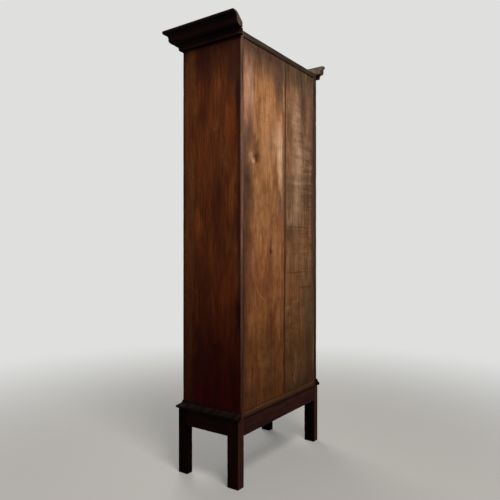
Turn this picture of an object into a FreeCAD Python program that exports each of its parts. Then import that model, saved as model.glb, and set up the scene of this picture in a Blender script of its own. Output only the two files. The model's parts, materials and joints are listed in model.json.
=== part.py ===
import FreeCAD, Part
import math
import os

# A tall narrow cupboard with one framed door. Its board-sided case stands on a low stand with
# straight legs, and a sprung cornice goes round its top. Millimetres, +Z up, the door faces -Y,
# and the origin is on the floor under the middle of the cornice.

# Case
case_width = 540.0
case_depth = 251.0
case_height = 1290.0
side_thickness = 20.0
top_thickness = 17.0
bottom_thickness = 20.0
tongue_thickness = 6.0
tongue_length = 6.0
tongue_stop = 16.0
joint_relief = 1.0

# Back boards, nailed to battens inside
back_thickness = 10.0
back_recess = 4.0
back_groove_depth = 6.0
back_joint_offset = 12.0
back_joint_gap = 2.4
back_lap = 8.0
back_top_gap = 3.0
batten_height = 28.0
batten_thickness = 16.0
nail_head_radius = 2.2
nail_head_height = 1.0
nail_radius = 1.1
nail_grip = 11.0
nail_place_shares = (0.16, 0.5, 0.84)

# Stand
stand_height = 230.0
leg_width = 27.0
leg_depth = 42.0
back_leg_width = 33.0
back_leg_depth = 45.0
leg_proud = 12.0
leg_arris = 1.5
apron_height = 59.0
apron_thickness = 20.0
apron_tenon_thickness = 8.0
apron_tenon_length = 20.0
apron_tenon_shoulder = 8.0
stand_block_size = 16.0
stand_block_height = 40.0

# Waist moulding round the joint of stand and case
waist_rise = 26.0
waist_lip = 1.5
waist_nose_radius = 6.0
waist_nose_drop = 2.0
waist_quirk = 1.5
waist_overhang = 5.0
waist_hollow_share = 0.16

# Cornice: bed moulding on the case, sprung crown above it
cornice_overhang = 15.0
bed_overhang = 11.0
bed_height = 23.0
bed_foot = 3.0
bed_projection = 21.0
bed_fillet = 4.0
crown_projection = 53.0
crown_rise = 48.0
crown_seat_in = 6.0
crown_seat_out = 22.0
crown_plumb = 15.0
crown_fillet = 12.0
crown_round = 5.0
crown_top_width = 9.0
cyma_bulge_share = 0.21
cornice_block_width = 30.0
cornice_block_length = 46.0
cornice_block_reach_share = 0.62
front_block_shares = (0.14, 0.5, 0.86)
side_block_shares = (0.42, 0.9)

# Face frame
frame_thickness = 22.0
frame_stile_width = 46.0
frame_top_height = 80.0
frame_bottom_height = 38.0
frame_tenon_thickness = 8.0
frame_tenon_length = 24.0
frame_tenon_shoulder = 9.0
peg_radius = 3.0

# Shelves on cleats
shelf_thickness = 16.0
shelf_end_gap = 0.5
shelf_setback = 4.0
shelf_height_shares = (0.24, 0.49, 0.745)
cleat_height = 20.0
cleat_thickness = 14.0
cleat_screw_grip = 9.0
cleat_screw_shares = (0.2, 0.8)

# Door
door_gap = 1.5
door_thickness = 21.5
door_stile_width = 62.0
door_top_height = 70.0
door_middle_height = 66.0
door_bottom_height = 90.0
lower_panel_height = 300.0
door_tenon_thickness = 7.0
door_tenon_length = 40.0
door_tenon_haunch = 4.0
door_peg_inset = 14.0
panel_groove_depth = 8.0
panel_edge_thickness = 6.0
panel_edge_gap = 1.0
panel_margin = 14.0
panel_bevel = 30.0
panel_bevel_rise = 3.2
panel_step = 1.2
bead_width = 8.0
bead_setback = 1.0
stop_overlap = 8.0
stop_seat = 14.0
stop_thickness = 12.0

# Butt hinges
hinge_length = 60.0
hinge_inset = 150.0
knuckle_count = 5
knuckle_radius = 4.0
knuckle_standoff = 0.8
knuckle_clearance = 0.3
hinge_pin_radius = 2.0
hinge_pin_clearance = 0.05
hinge_ball_radius = 3.4
hinge_ball_lift = 3.0
leaf_thickness = 1.6
leaf_gap = 0.2
leaf_depth = 15.0
leaf_screw_inset = 6.5
leaf_screw_shares = (0.15, 0.5, 0.85)

# Countersunk screws
screw_head_radius = 3.0
screw_head_height = 1.3
screw_radius = 1.4
screw_length = 13.0
screw_tip = 3.0
screw_slot_width = 0.7
screw_slot_depth = 0.5

# Lock, let into the rear face of the lock stile
lock_height = 880.0
lock_backset = 24.0
lock_width = 48.0
lock_above = 22.0
lock_below = 14.0
lock_depth = 11.5
lock_wall = 1.2
lock_cap_thickness = 1.5
lock_ear = 9.0
lock_stud_radius = 1.5
lock_stud_backset = 14.0
lock_stud_rise = 14.0
bolt_height = 10.0
bolt_thickness = 6.0
bolt_length = 44.0
bolt_rise = 7.5
bolt_throw = 8.0
bolt_clearance = 0.2
bolt_notch_clearance = 0.5
spring_thickness = 0.6
spring_length = 24.0
strike_thickness = 1.5
strike_ear = 11.0
strike_border = 3.0
strike_clearance = 0.5

# Key and keyhole
key_radius = 3.0
key_pin_radius = 1.5
key_pin_clearance = 0.05
key_end_gap = 0.3
key_reach = 30.0
key_bow_radius = 10.0
key_bow_wire = 2.2
key_collar_radius = 4.4
key_collar_length = 3.0
bit_radius = 10.0
bit_thickness = 2.4
bit_width = 5.0
keyhole_clearance = 0.5
plate_half_height = 24.0
plate_half_width = 12.0
plate_thickness = 1.2
plate_pin_radius = 0.7
plate_pin_head_radius = 1.6
plate_pin_length = 7.0
plate_pin_inset = 4.0

# One overrun serves every cut that goes past a face
overrun = 1.0

# Places that follow from the sizes
vec = FreeCAD.Vector
half_width = case_width / 2
front_y = (crown_projection - case_depth - cornice_overhang) / 2
back_y = front_y + case_depth
case_top = stand_height + case_height
frame_back = front_y + frame_thickness
side_inner = half_width - side_thickness
top_under = case_top - top_thickness
floor_top = stand_height + bottom_thickness
back_rear = back_y - back_recess
back_front = back_rear - back_thickness
leg_x = half_width + leg_proud
leg_front = front_y - leg_proud
apron_bottom = stand_height - apron_height
open_half = half_width - frame_stile_width
open_bottom = stand_height + frame_bottom_height
open_top = case_top - frame_top_height
door_half = open_half - door_gap
door_bottom = open_bottom + door_gap
door_top = open_top - door_gap
door_back = front_y + door_thickness
door_middle = front_y + door_thickness / 2
sight_half = door_half - door_stile_width
lower_sight = door_bottom + door_bottom_height
middle_bottom = lower_sight + lower_panel_height
middle_top = middle_bottom + door_middle_height
upper_sight = door_top - door_top_height
door_tenon_shoulder = panel_groove_depth + door_tenon_haunch
panel_front = door_middle - panel_edge_thickness / 2
shelf_front = frame_back + stop_thickness + shelf_setback
hinge_x = door_gap / 2 - open_half
hinge_y = front_y - knuckle_radius - knuckle_standoff
hinge_heights = (door_bottom + hinge_inset, door_top - hinge_inset)
lock_front = door_back - lock_depth
lock_room_front = lock_front + lock_wall
lock_room_back = door_back - lock_cap_thickness
key_x = door_half - lock_backset
bolt_bottom = lock_height + bolt_rise
bolt_top = bolt_bottom + bolt_height
bolt_front = lock_room_front + bolt_clearance
bolt_back = bolt_front + bolt_thickness
key_tip = lock_room_back - key_end_gap
bit_front = bolt_front
bit_back = bit_front + bit_width


def block(x_ends, y_ends, z_ends):
    """A box between two ends on each axis, in either order."""
    low = vec(min(x_ends), min(y_ends), min(z_ends))
    high = vec(max(x_ends), max(y_ends), max(z_ends))
    size = high - low
    return Part.makeBox(size.x, size.y, size.z, low)


def rod(radius, start, end):
    """A round bar from one point to another."""
    run = end - start
    return Part.makeCylinder(radius, run.Length, start, run)


def fused(shapes):
    """One solid out of pieces that touch or overlap."""
    return shapes[0].multiFuse(shapes[1:]).removeSplitter()


def mirrored(shape):
    """The left-hand copy of a right-hand piece."""
    return shape.mirror(vec(0, 0, 0), vec(1, 0, 0))


def outline_face(steps, place):
    """A flat face from corners (out, up) and arcs ((mid out, mid up), (out, up)) on a placed plane."""
    edges = []
    first = last = steps[0]
    for step in steps[1:] + [first]:
        if isinstance(step[0], tuple):
            middle, end = step
            edges.append(Part.Arc(place(*last), place(*middle), place(*end)).toShape())
        else:
            end = step
            edges.append(Part.makeLine(place(*last), place(*end)))
        last = end
    return Part.Face(Part.Wire(edges))


def outline_ends(steps):
    """The smallest and largest distance out of an outline's corners and of the middles of its arcs."""
    outs = []
    for step in steps:
        points = step if isinstance(step[0], tuple) else (step,)
        outs += [out for out, up in points]
    return min(outs), max(outs)


def prism(points, run):
    """A straight-sided solid from a closed row of points."""
    return Part.Face(Part.makePolygon(points + points[:1])).extrude(run)


def cyma(low, high):
    """Two arcs from a low point to a high one: swelling below, hollow above."""
    run = (high[0] - low[0], high[1] - low[1])
    middle = (low[0] + run[0] / 2, low[1] + run[1] / 2)
    bulge = (run[1] * cyma_bulge_share / 2, -run[0] * cyma_bulge_share / 2)
    swell = ((low[0] + middle[0]) / 2 + bulge[0], (low[1] + middle[1]) / 2 + bulge[1])
    hollow = ((high[0] + middle[0]) / 2 - bulge[0], (high[1] + middle[1]) / 2 - bulge[1])
    return [(swell, middle), (hollow, high)]


def front_length(steps):
    """A length of moulding across the front, mitred at both ends."""
    inner, outer = outline_ends(steps)
    start = -half_width - outer
    face = outline_face(steps, lambda out, up: vec(start, front_y - out, up))
    length = face.extrude(vec(-2 * start, 0, 0))
    low = length.BoundBox.ZMin
    tall = vec(0, 0, length.BoundBox.ZLength)
    plan = [vec(start, front_y - outer, low), vec(-start, front_y - outer, low),
            vec(half_width + inner, front_y - inner, low), vec(-half_width - inner, front_y - inner, low)]
    return length.common(prism(plan, tall))


def side_length(steps, overhang):
    """A length of moulding along the right side, mitred in front and sawn square behind."""
    inner, outer = outline_ends(steps)
    rear = back_y + overhang
    face = outline_face(steps, lambda out, up: vec(half_width + out, rear, up))
    length = face.extrude(vec(0, front_y - outer - rear, 0))
    low = length.BoundBox.ZMin
    tall = vec(0, 0, length.BoundBox.ZLength)
    plan = [vec(half_width + inner, front_y - inner, low), vec(half_width + outer, front_y - outer, low),
            vec(half_width + outer, rear, low), vec(half_width + inner, rear, low)]
    return length.common(prism(plan, tall))


def moulding(name, steps, overhang):
    """Front, left and right lengths of one moulding."""
    right = side_length(steps, overhang)
    return {name + "_front": front_length(steps), name + "_right": right, name + "_left": mirrored(right)}


def screw_blank(head, into, length):
    """A countersunk screw without its slot, from the middle of its head into the wood."""
    head_cone = Part.makeCone(screw_head_radius, screw_radius, screw_head_height)
    shank = rod(screw_radius, vec(0, 0, 0), vec(0, 0, length - screw_tip))
    tip = Part.makeCone(screw_radius, 0, screw_tip, vec(0, 0, length - screw_tip))
    screw = fused([head_cone, shank, tip])
    screw.Placement = FreeCAD.Placement(head, FreeCAD.Rotation(vec(0, 0, 1), into))
    return screw


def slotted(screw):
    """The screw with the slot cut across its head."""
    half = screw_slot_width / 2
    slot = block((-screw_head_radius, screw_head_radius), (-half, half), (0, screw_slot_depth))
    slot.Placement = screw.Placement
    return screw.cut(slot)


def peg_through(x, z, back):
    """A wooden peg from the front face through to a rear face."""
    return rod(peg_radius, vec(x, front_y, z), vec(x, back, z))


# Stand

def apron_tenon_band(outer, inward):
    """Where an apron's tenon lies across its thickness, measured in from its outer face."""
    near = outer + inward * (apron_thickness - apron_tenon_thickness) / 2
    return near, near + inward * apron_tenon_thickness


tenon_rise = (apron_bottom + apron_tenon_shoulder, stand_height - apron_tenon_shoulder)


def leg_section(end):
    """Width and depth of a leg; the back legs are the stouter ones."""
    return (back_leg_width, back_leg_depth) if end > 0 else (leg_width, leg_depth)


def leg(side, end):
    """A straight leg with mortises for its two aprons; side is +1 right, end is +1 behind."""
    outer_x = side * leg_x
    outer_y = back_y if end > 0 else leg_front
    wide, deep = leg_section(end)
    inner_x = outer_x - side * wide
    inner_y = outer_y - end * deep
    post = block((outer_x, inner_x), (outer_y, inner_y), (0, stand_height))
    worn = [edge for edge in post.Edges if is_worn_edge(edge, outer_x, outer_y)]
    post = post.makeChamfer(leg_arris, worn)
    depth = apron_tenon_length + joint_relief
    cross = block((inner_x, inner_x + side * depth), apron_tenon_band(outer_y, -end), tenon_rise)
    along = block(apron_tenon_band(outer_x, -side), (inner_y, inner_y + end * depth), tenon_rise)
    return post.cut([cross, along])


def is_worn_edge(edge, outer_x, outer_y):
    """The foot's four edges and the upright edge at the outer corner are eased."""
    middle = edge.CenterOfMass
    at_corner = abs(middle.x - outer_x) < leg_arris and abs(middle.y - outer_y) < leg_arris
    return middle.z < leg_arris or at_corner


def cross_apron(end):
    """The front or back apron, flush with the legs, tenoned at both ends."""
    outer_y = back_y if end > 0 else leg_front
    reach = leg_x - leg_section(end)[0]
    board = block((-reach, reach), (outer_y, outer_y - end * apron_thickness), (apron_bottom, stand_height))
    long_reach = reach + apron_tenon_length
    tenons = block((-long_reach, long_reach), apron_tenon_band(outer_y, -end), tenon_rise)
    return fused([board, tenons])


def side_apron(side):
    """The left or right apron, flush with the legs, tenoned at both ends."""
    outer_x = side * leg_x
    ends = (leg_front + leg_depth, back_y - back_leg_depth)
    board = block((outer_x, outer_x - side * apron_thickness), ends, (apron_bottom, stand_height))
    tenon_ends = (ends[0] - apron_tenon_length, ends[1] + apron_tenon_length)
    tenons = block(apron_tenon_band(outer_x, -side), tenon_ends, tenon_rise)
    return fused([board, tenons])


def stand_blocks():
    """Two glue blocks behind each leg, one against each apron."""
    blocks = []
    rise = (stand_height - stand_block_height, stand_height)
    for side in (-1, 1):
        for end in (-1, 1):
            outer_x = side * leg_x
            outer_y = back_y if end > 0 else leg_front
            wide, deep = leg_section(end)
            leg_inner_x = outer_x - side * wide
            leg_inner_y = outer_y - end * deep
            apron_inner_x = outer_x - side * apron_thickness
            apron_inner_y = outer_y - end * apron_thickness
            blocks.append(block((leg_inner_x, leg_inner_x - side * stand_block_size),
                                (apron_inner_y, apron_inner_y - end * stand_block_size), rise))
            blocks.append(block((apron_inner_x, apron_inner_x - side * stand_block_size),
                                (leg_inner_y, leg_inner_y - end * stand_block_size), rise))
    return blocks


def waist_outline():
    """Hollow above, a round nose below, and a rebate that sits on the stand and laps its face."""
    nose_x = leg_proud + waist_nose_drop / 2
    nose_low = stand_height - waist_nose_drop
    nose_top = nose_low + 2 * waist_nose_radius
    hollow_low = (nose_x, nose_top + waist_quirk)
    hollow_high = (waist_lip, stand_height + waist_rise)
    run = (hollow_high[0] - hollow_low[0], hollow_high[1] - hollow_low[1])
    hollow = (hollow_low[0] + run[0] / 2 - run[1] * waist_hollow_share,
              hollow_low[1] + run[1] / 2 + run[0] * waist_hollow_share)
    nose_tip = (nose_x + waist_nose_radius, nose_low + waist_nose_radius)
    return [(0, stand_height), (leg_proud, stand_height), (leg_proud, nose_low), (nose_x, nose_low),
            (nose_tip, (nose_x, nose_top)), hollow_low, (hollow, hollow_high), (0, hollow_high[1])]


# Case

def side_tongue_band():
    """Where the tongue lies in the thickness of the right side."""
    near = side_inner + (side_thickness - tongue_thickness) / 2
    return near, near + tongue_thickness


def board_tongue_band(low, thickness):
    """Where the tongue lies in the thickness of the top or bottom board."""
    near = low + (thickness - tongue_thickness) / 2
    return near, near + tongue_thickness


tongue_run = (frame_back + tongue_stop, back_y - tongue_stop)


def side_board():
    """The right side: tongued into the face frame, grooved for top, bottom and back."""
    board = block((side_inner, half_width), (frame_back, back_y), (stand_height, case_top))
    tongue = block(side_tongue_band(), (frame_back - tongue_length, frame_back),
                   (stand_height + tongue_stop, case_top - tongue_stop))
    depth = (side_inner, side_inner + tongue_length + joint_relief)
    grooves = [block(depth, tongue_run, board_tongue_band(top_under, top_thickness)),
               block(depth, tongue_run, board_tongue_band(stand_height, bottom_thickness)),
               block((side_inner, side_inner + back_groove_depth), (back_front, back_rear),
                     (floor_top, top_under))]
    board = fused([board, tongue]).cut(grooves)
    return board.cut(cleat_screw_blanks(1))


def cross_board(low, thickness):
    """The top or bottom board, between the sides, with a stopped tongue at each end."""
    board = block((-side_inner, side_inner), (frame_back, back_y), (low, low + thickness))
    reach = side_inner + tongue_length
    tongue = block((-reach, reach), tongue_run, board_tongue_band(low, thickness))
    return fused([board, tongue])


def back_edges():
    """Left edge, left and right sides of the joint, and right edge of the two back boards."""
    reach = side_inner + back_groove_depth - joint_relief
    joint = -back_joint_offset
    return -reach, joint - back_joint_gap / 2, joint + back_joint_gap / 2, reach


def back_boards():
    """Two upright boards, half lapped where they meet."""
    left, joint_left, joint_right, right = back_edges()
    rise = (floor_top, top_under - back_top_gap)
    half = (back_front + back_rear) / 2
    lap_end = joint_left - back_lap
    wide = block((joint_right, right), (back_front, back_rear), rise)
    lap = block((lap_end, joint_right), (back_front, half), rise)
    narrow = block((left, joint_left), (back_front, back_rear), rise)
    room = block((lap_end - joint_relief, joint_left), (back_front, half), rise)
    nails = back_nails()
    return narrow.cut([room] + nails), fused([wide, lap]).cut(nails)


def back_battens():
    """Strips under the top and on the bottom that the back boards are nailed to."""
    depth = (back_front - batten_thickness, back_front)
    ends = (-side_inner, side_inner)
    lower = block(ends, depth, (floor_top, floor_top + batten_height))
    upper = block(ends, depth, (top_under - batten_height, top_under))
    return [strip.cut(back_nails()) for strip in (lower, upper)]


def back_nails():
    """Flush nails, three across each board at top and bottom."""
    left, joint_left, joint_right, right = back_edges()
    nails = []
    for z in (floor_top + batten_height / 2, top_under - batten_height / 2):
        for low, high in ((left, joint_left - back_lap), (joint_right, right)):
            for share in nail_place_shares:
                x = low + (high - low) * share
                head = rod(nail_head_radius, vec(x, back_rear, z), vec(x, back_rear - nail_head_height, z))
                shank = rod(nail_radius, vec(x, back_rear, z), vec(x, back_front - nail_grip, z))
                nails.append(fused([head, shank]))
    return nails


# Cornice

def bed_outline():
    """A small cyma on the case, level with its top."""
    low = case_top - bed_height
    return ([(0, low), (bed_foot, low)]
            + cyma((bed_foot, low), (bed_projection, case_top - bed_fillet))
            + [(bed_projection, case_top), (0, case_top)])


def crown_slope():
    """The inner edge of the crown's sloping back, low end and high end."""
    low = (crown_seat_in, case_top + crown_plumb)
    high = (crown_projection - crown_top_width, case_top + crown_rise)
    return low, high


def crown_outline():
    """A large cyma under a plain fillet, with a sloping back."""
    top = case_top + crown_rise
    ease = crown_round * (1 - math.sqrt(0.5))
    corner = (crown_projection - ease, top - ease)
    slope_low, slope_high = crown_slope()
    return ([(crown_seat_in, case_top), (crown_seat_out, case_top)]
            + cyma((crown_seat_out, case_top), (crown_projection, top - crown_fillet))
            + [(crown_projection, top - crown_round), (corner, (crown_projection - crown_round, top)),
               slope_high, slope_low])


def cornice_block_outline():
    """A glue block on the case top, fitted against the crown's back."""
    low, high = crown_slope()
    reach = (low[0] + (high[0] - low[0]) * cornice_block_reach_share,
             low[1] + (high[1] - low[1]) * cornice_block_reach_share)
    return [(crown_seat_in - cornice_block_width, case_top), (crown_seat_in, case_top), low, reach]


def cornice_blocks():
    """Glue blocks spaced along the front and along both sides."""
    steps = cornice_block_outline()
    half = cornice_block_length / 2
    blocks = []
    for share in front_block_shares:
        start = -half_width + case_width * share - half
        face = outline_face(steps, lambda out, up: vec(start, front_y - out, up))
        blocks.append(face.extrude(vec(cornice_block_length, 0, 0)))
    for share in side_block_shares:
        start = front_y + case_depth * share - half
        face = outline_face(steps, lambda out, up: vec(half_width + out, start, up))
        right = face.extrude(vec(0, cornice_block_length, 0))
        blocks += [right, mirrored(right)]
    return blocks


# Face frame

def frame_rail_ends():
    """Low and high edges of the bottom rail and of the top rail."""
    return (stand_height, open_bottom), (open_top, case_top)


def frame_tenon_rise(low, high):
    """The height band of a rail's tenon."""
    return low + frame_tenon_shoulder, high - frame_tenon_shoulder


def frame_tenon_depth():
    """Where the tenons lie in the thickness of the frame."""
    near = front_y + (frame_thickness - frame_tenon_thickness) / 2
    return near, near + frame_tenon_thickness


def frame_pegs():
    """One peg through each tenon of the frame."""
    reach = open_half + frame_tenon_length / 2
    pegs = []
    for low, high in frame_rail_ends():
        pegs += [peg_through(x, (low + high) / 2, frame_back) for x in (-reach, reach)]
    return pegs


def frame_stile():
    """The right stile: mortised for the rails, grooved behind for the side."""
    post = block((open_half, half_width), (front_y, frame_back), (stand_height, case_top))
    depth = frame_tenon_length + joint_relief
    cuts = [block((open_half, open_half + depth), frame_tenon_depth(), frame_tenon_rise(low, high))
            for low, high in frame_rail_ends()]
    cuts.append(block(side_tongue_band(), (frame_back - tongue_length - joint_relief, frame_back),
                      (stand_height + tongue_stop, case_top - tongue_stop)))
    return post.cut(cuts + frame_pegs())


def frame_rail(low, high):
    """A rail between the stiles with a tenon at each end."""
    rail = block((-open_half, open_half), (front_y, frame_back), (low, high))
    reach = open_half + frame_tenon_length
    tenons = block((-reach, reach), frame_tenon_depth(), frame_tenon_rise(low, high))
    return fused([rail, tenons]).cut(frame_pegs())


def hinge_side_stile():
    """The left stile, let in for the hinge leaves."""
    stile = mirrored(frame_stile())
    recesses = [leaf_plate(-1, height, front_y) for height in hinge_heights]
    return stile.cut(recesses + leaf_screw_blanks(-1))


def lock_side_stile():
    """The right stile, let in for the strike plate, with room for the bolt."""
    return frame_stile().cut([strike_blank(), bolt_room()] + strike_screw_blanks())


def door_stop():
    """A strip behind the lock side that the door closes against."""
    return block((open_half - stop_overlap, open_half + stop_seat),
                 (frame_back, frame_back + stop_thickness), (open_bottom, open_top))


# Shelves

def shelf_tops():
    """Heights of the shelves' top faces."""
    return [floor_top + (top_under - floor_top) * share for share in shelf_height_shares]


def shelf(top):
    """A loose board on its two cleats."""
    reach = side_inner - shelf_end_gap
    return block((-reach, reach), (shelf_front, back_front), (top - shelf_thickness, top))


def cleat_screw_blanks(side):
    """Screws through every cleat of one side into its board."""
    run = back_front - shelf_front
    x = side * (side_inner - cleat_thickness)
    blanks = []
    for top in shelf_tops():
        z = top - shelf_thickness - cleat_height / 2
        for share in cleat_screw_shares:
            head = vec(x, shelf_front + run * share, z)
            blanks.append(screw_blank(head, vec(side, 0, 0), cleat_thickness + cleat_screw_grip))
    return blanks


def cleats():
    """A batten under each end of each shelf."""
    strips = []
    for side in (-1, 1):
        ends = (side * (side_inner - cleat_thickness), side * side_inner)
        for top in shelf_tops():
            under = top - shelf_thickness
            strip = block(ends, (shelf_front, back_front), (under - cleat_height, under))
            strips.append(strip.cut(cleat_screw_blanks(side)))
    return strips


# Door

def door_rails():
    """Low edge, high edge of the bottom, middle and top rails."""
    return ((door_bottom, lower_sight), (middle_bottom, middle_top), (upper_sight, door_top))


def door_sights():
    """Low edge, high edge of the two openings that the panels fill."""
    return ((lower_sight, middle_bottom), (middle_top, upper_sight))


def door_tenon_rise(low, high):
    """The height band of a rail's tenon, clear of the panel grooves."""
    return low + door_tenon_shoulder, high - door_tenon_shoulder


def middle_band(thickness):
    """A band of one thickness in the middle of the door."""
    return door_middle - thickness / 2, door_middle + thickness / 2


def door_pegs():
    """Two pegs through each tenon of the door."""
    reach = sight_half + door_peg_inset
    pegs = []
    for low, high in door_rails():
        tenon_low, tenon_high = door_tenon_rise(low, high)
        spread = (tenon_high - tenon_low) / 4
        middle = (low + high) / 2
        for z in (middle - spread, middle + spread):
            pegs += [peg_through(x, z, door_back) for x in (-reach, reach)]
    return pegs


def door_stile():
    """The right stile: mortises for three rails and grooves for the panels."""
    post = block((sight_half, door_half), (front_y, door_back), (door_bottom, door_top))
    depth = door_tenon_length + joint_relief
    cuts = [block((sight_half, sight_half + depth), middle_band(door_tenon_thickness),
                  door_tenon_rise(low, high)) for low, high in door_rails()]
    cuts += [block((sight_half, sight_half + panel_groove_depth), middle_band(panel_edge_thickness),
                   (low - panel_groove_depth, high + panel_groove_depth)) for low, high in door_sights()]
    return post.cut(cuts + door_pegs())


def door_rail(low, high):
    """A rail with a tenon at each end and grooves where a panel meets it."""
    rail = block((-sight_half, sight_half), (front_y, door_back), (low, high))
    reach = sight_half + door_tenon_length
    tenons = block((-reach, reach), middle_band(door_tenon_thickness), door_tenon_rise(low, high))
    grooves = [block((-sight_half, sight_half), middle_band(panel_edge_thickness),
                     (sight_low - panel_groove_depth, sight_high + panel_groove_depth))
               for sight_low, sight_high in door_sights()]
    return fused([rail, tenons]).cut(grooves + door_pegs() + lock_cuts())


def rectangle(inset, low, high, y):
    """A closed upright rectangle set in from the edges of a panel opening."""
    x = sight_half - inset
    corners = [vec(-x, y, low + inset), vec(x, y, low + inset),
               vec(x, y, high - inset), vec(-x, y, high - inset)]
    return Part.makePolygon(corners + corners[:1])


def door_panel(low, high):
    """A raised and fielded panel whose thin edge sits in the grooves."""
    edge = panel_groove_depth - panel_edge_gap
    reach = sight_half + edge
    sheet = block((-reach, reach), middle_band(panel_edge_thickness), (low - edge, high + edge))
    field_inset = panel_margin + panel_bevel
    bevel_top = panel_front - panel_bevel_rise
    bevel = Part.makeLoft([rectangle(panel_margin, low, high, panel_front),
                           rectangle(field_inset, low, high, bevel_top)], True, True)
    field = block((field_inset - sight_half, sight_half - field_inset),
                  (bevel_top, bevel_top - panel_step), (low + field_inset, high - field_inset))
    return fused([sheet, bevel, field])


def bead_outline(toward):
    """A quarter round that fills the corner of frame and panel."""
    depth = panel_front - front_y - bead_setback
    ease = math.sqrt(0.5)
    return [(0, panel_front), (toward * bead_width, panel_front),
            ((toward * bead_width * ease, panel_front - depth * ease), (0, panel_front - depth))]


def panel_beads(low, high):
    """Four mitred lengths of bead round one opening."""
    thick = vec(0, panel_front - front_y, 0)
    middle = (low + high) / 2
    narrow = min(sight_half, (high - low) / 2)
    beads = []
    for side in (-1, 1):
        face = outline_face(bead_outline(-side), lambda out, y: vec(side * sight_half + out, y, low))
        upright = face.extrude(vec(0, 0, high - low))
        inner_x = side * (sight_half - narrow)
        plan = [vec(side * sight_half, front_y, low), vec(side * sight_half, front_y, high),
                vec(inner_x, front_y, high - narrow), vec(inner_x, front_y, low + narrow)]
        beads.append(upright.common(prism(plan, thick)))
        edge = middle + side * (high - low) / 2
        face = outline_face(bead_outline(-side), lambda out, y: vec(-sight_half, y, edge + out))
        level = face.extrude(vec(2 * sight_half, 0, 0))
        inner_z = edge - side * narrow
        plan = [vec(-sight_half, front_y, edge), vec(sight_half, front_y, edge),
                vec(sight_half - narrow, front_y, inner_z), vec(narrow - sight_half, front_y, inner_z)]
        beads.append(level.common(prism(distinct(plan), thick)))
    return beads


def distinct(points):
    """The points in order, without one that repeats the point before it."""
    kept = points[:1]
    for point in points[1:]:
        if not point.isEqual(kept[-1], bead_setback):
            kept.append(point)
    return kept


# Hinges

def hinge_band(height):
    """Low and high end of a hinge at one height."""
    return height - hinge_length / 2, height + hinge_length / 2


def leaf_plate(side, height, start_y):
    """The flat of a leaf; side is -1 on the frame and +1 on the door."""
    near = hinge_x + side * leaf_gap / 2
    return block((near, near + side * leaf_thickness), (start_y, front_y + leaf_depth), hinge_band(height))


def hinge_leaf(side, height):
    """A leaf with its own knuckles, clear of the other leaf's knuckles."""
    low, high = hinge_band(height)
    pitch = hinge_length / knuckle_count
    own = 0 if side < 0 else 1
    bore = hinge_pin_radius + (hinge_pin_clearance if side > 0 else 0)
    shapes = [leaf_plate(side, height, hinge_y)]
    cuts = []
    for number in range(knuckle_count):
        start = low + number * pitch
        ends = (vec(hinge_x, hinge_y, start), vec(hinge_x, hinge_y, start + pitch))
        ease = vec(0, 0, knuckle_clearance)
        if number % 2 == own:
            barrel_low = ends[0] + (ease if number > 0 else vec(0, 0, 0))
            barrel_high = ends[1] - (ease if number < knuckle_count - 1 else vec(0, 0, 0))
            shapes.append(rod(knuckle_radius, barrel_low, barrel_high))
        else:
            cuts.append(rod(knuckle_radius + knuckle_clearance, ends[0], ends[1]))
    cuts.append(rod(bore, vec(hinge_x, hinge_y, low), vec(hinge_x, hinge_y, high)))
    return fused(shapes).cut(cuts + leaf_screw_blanks(side))


def hinge_pin(height):
    """A pin with a ball at each end."""
    low, high = hinge_band(height)
    shapes = [rod(hinge_pin_radius, vec(hinge_x, hinge_y, low - hinge_ball_lift),
                  vec(hinge_x, hinge_y, high + hinge_ball_lift))]
    for z in (low - hinge_ball_lift, high + hinge_ball_lift):
        shapes.append(Part.makeSphere(hinge_ball_radius, vec(hinge_x, hinge_y, z)))
    return fused(shapes)


def leaf_screw_blanks(side):
    """Three screws through each leaf of one side, all hinges."""
    x = hinge_x + side * leaf_gap / 2
    y = front_y + leaf_depth - leaf_screw_inset
    blanks = []
    for height in hinge_heights:
        low, high = hinge_band(height)
        for share in leaf_screw_shares:
            head = vec(x, y, low + (high - low) * share)
            blanks.append(screw_blank(head, vec(side, 0, 0), screw_length))
    return blanks


# Lock

def lock_ends():
    """Low and high end of the lock case."""
    return lock_height - lock_below, lock_height + lock_above


def lock_case_blank():
    """The space that the lock case takes in the stile."""
    return block((door_half - lock_width, door_half), (lock_front, lock_room_back), lock_ends())


def bolt_blank(clearance, start, end):
    """A bar of the bolt's section, grown by a clearance, between two places along X."""
    return block((start, end), (bolt_front - clearance, bolt_back + clearance),
                 (bolt_bottom - clearance, bolt_top + clearance))


def lock_case():
    """A tray with a keyhole in front, a stud for the bolt and a hole in its edge plate."""
    low, high = lock_ends()
    room = block((door_half - lock_width + lock_wall, door_half - lock_wall),
                 (lock_room_front, lock_room_back), (low + lock_wall, high - lock_wall))
    stud_x = door_half - lock_stud_backset
    stud_z = lock_height + lock_stud_rise
    stud = rod(lock_stud_radius, vec(stud_x, lock_front, stud_z), vec(stud_x, lock_room_back, stud_z))
    tray = lock_case_blank().cut([room, bolt_blank(bolt_clearance, door_half - 2 * lock_wall, door_half)])
    return fused([tray, stud]).cut(keyhole(lock_front - overrun, lock_room_front))


def lock_cap_blank():
    """The plate over the lock, with an ear above and below."""
    low, high = lock_ends()
    return block((door_half - lock_width, door_half), (lock_room_back, door_back),
                 (low - lock_ear, high + lock_ear))


def lock_screw_blanks():
    """Four screws through the ears of the cap."""
    low, high = lock_ends()
    inset = lock_ear / 2 + screw_head_radius
    blanks = []
    for x in (door_half - lock_width + inset, door_half - inset):
        for z in (low - lock_ear / 2, high + lock_ear / 2):
            blanks.append(screw_blank(vec(x, door_back, z), vec(0, -1, 0), screw_length))
    return blanks


def lock_cap():
    """The cap plate with the drill pin that the pipe key turns on."""
    pin = rod(key_pin_radius, vec(key_x, lock_room_back, lock_height), vec(key_x, lock_front, lock_height))
    return fused([lock_cap_blank().cut(lock_screw_blanks()), pin])


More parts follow.
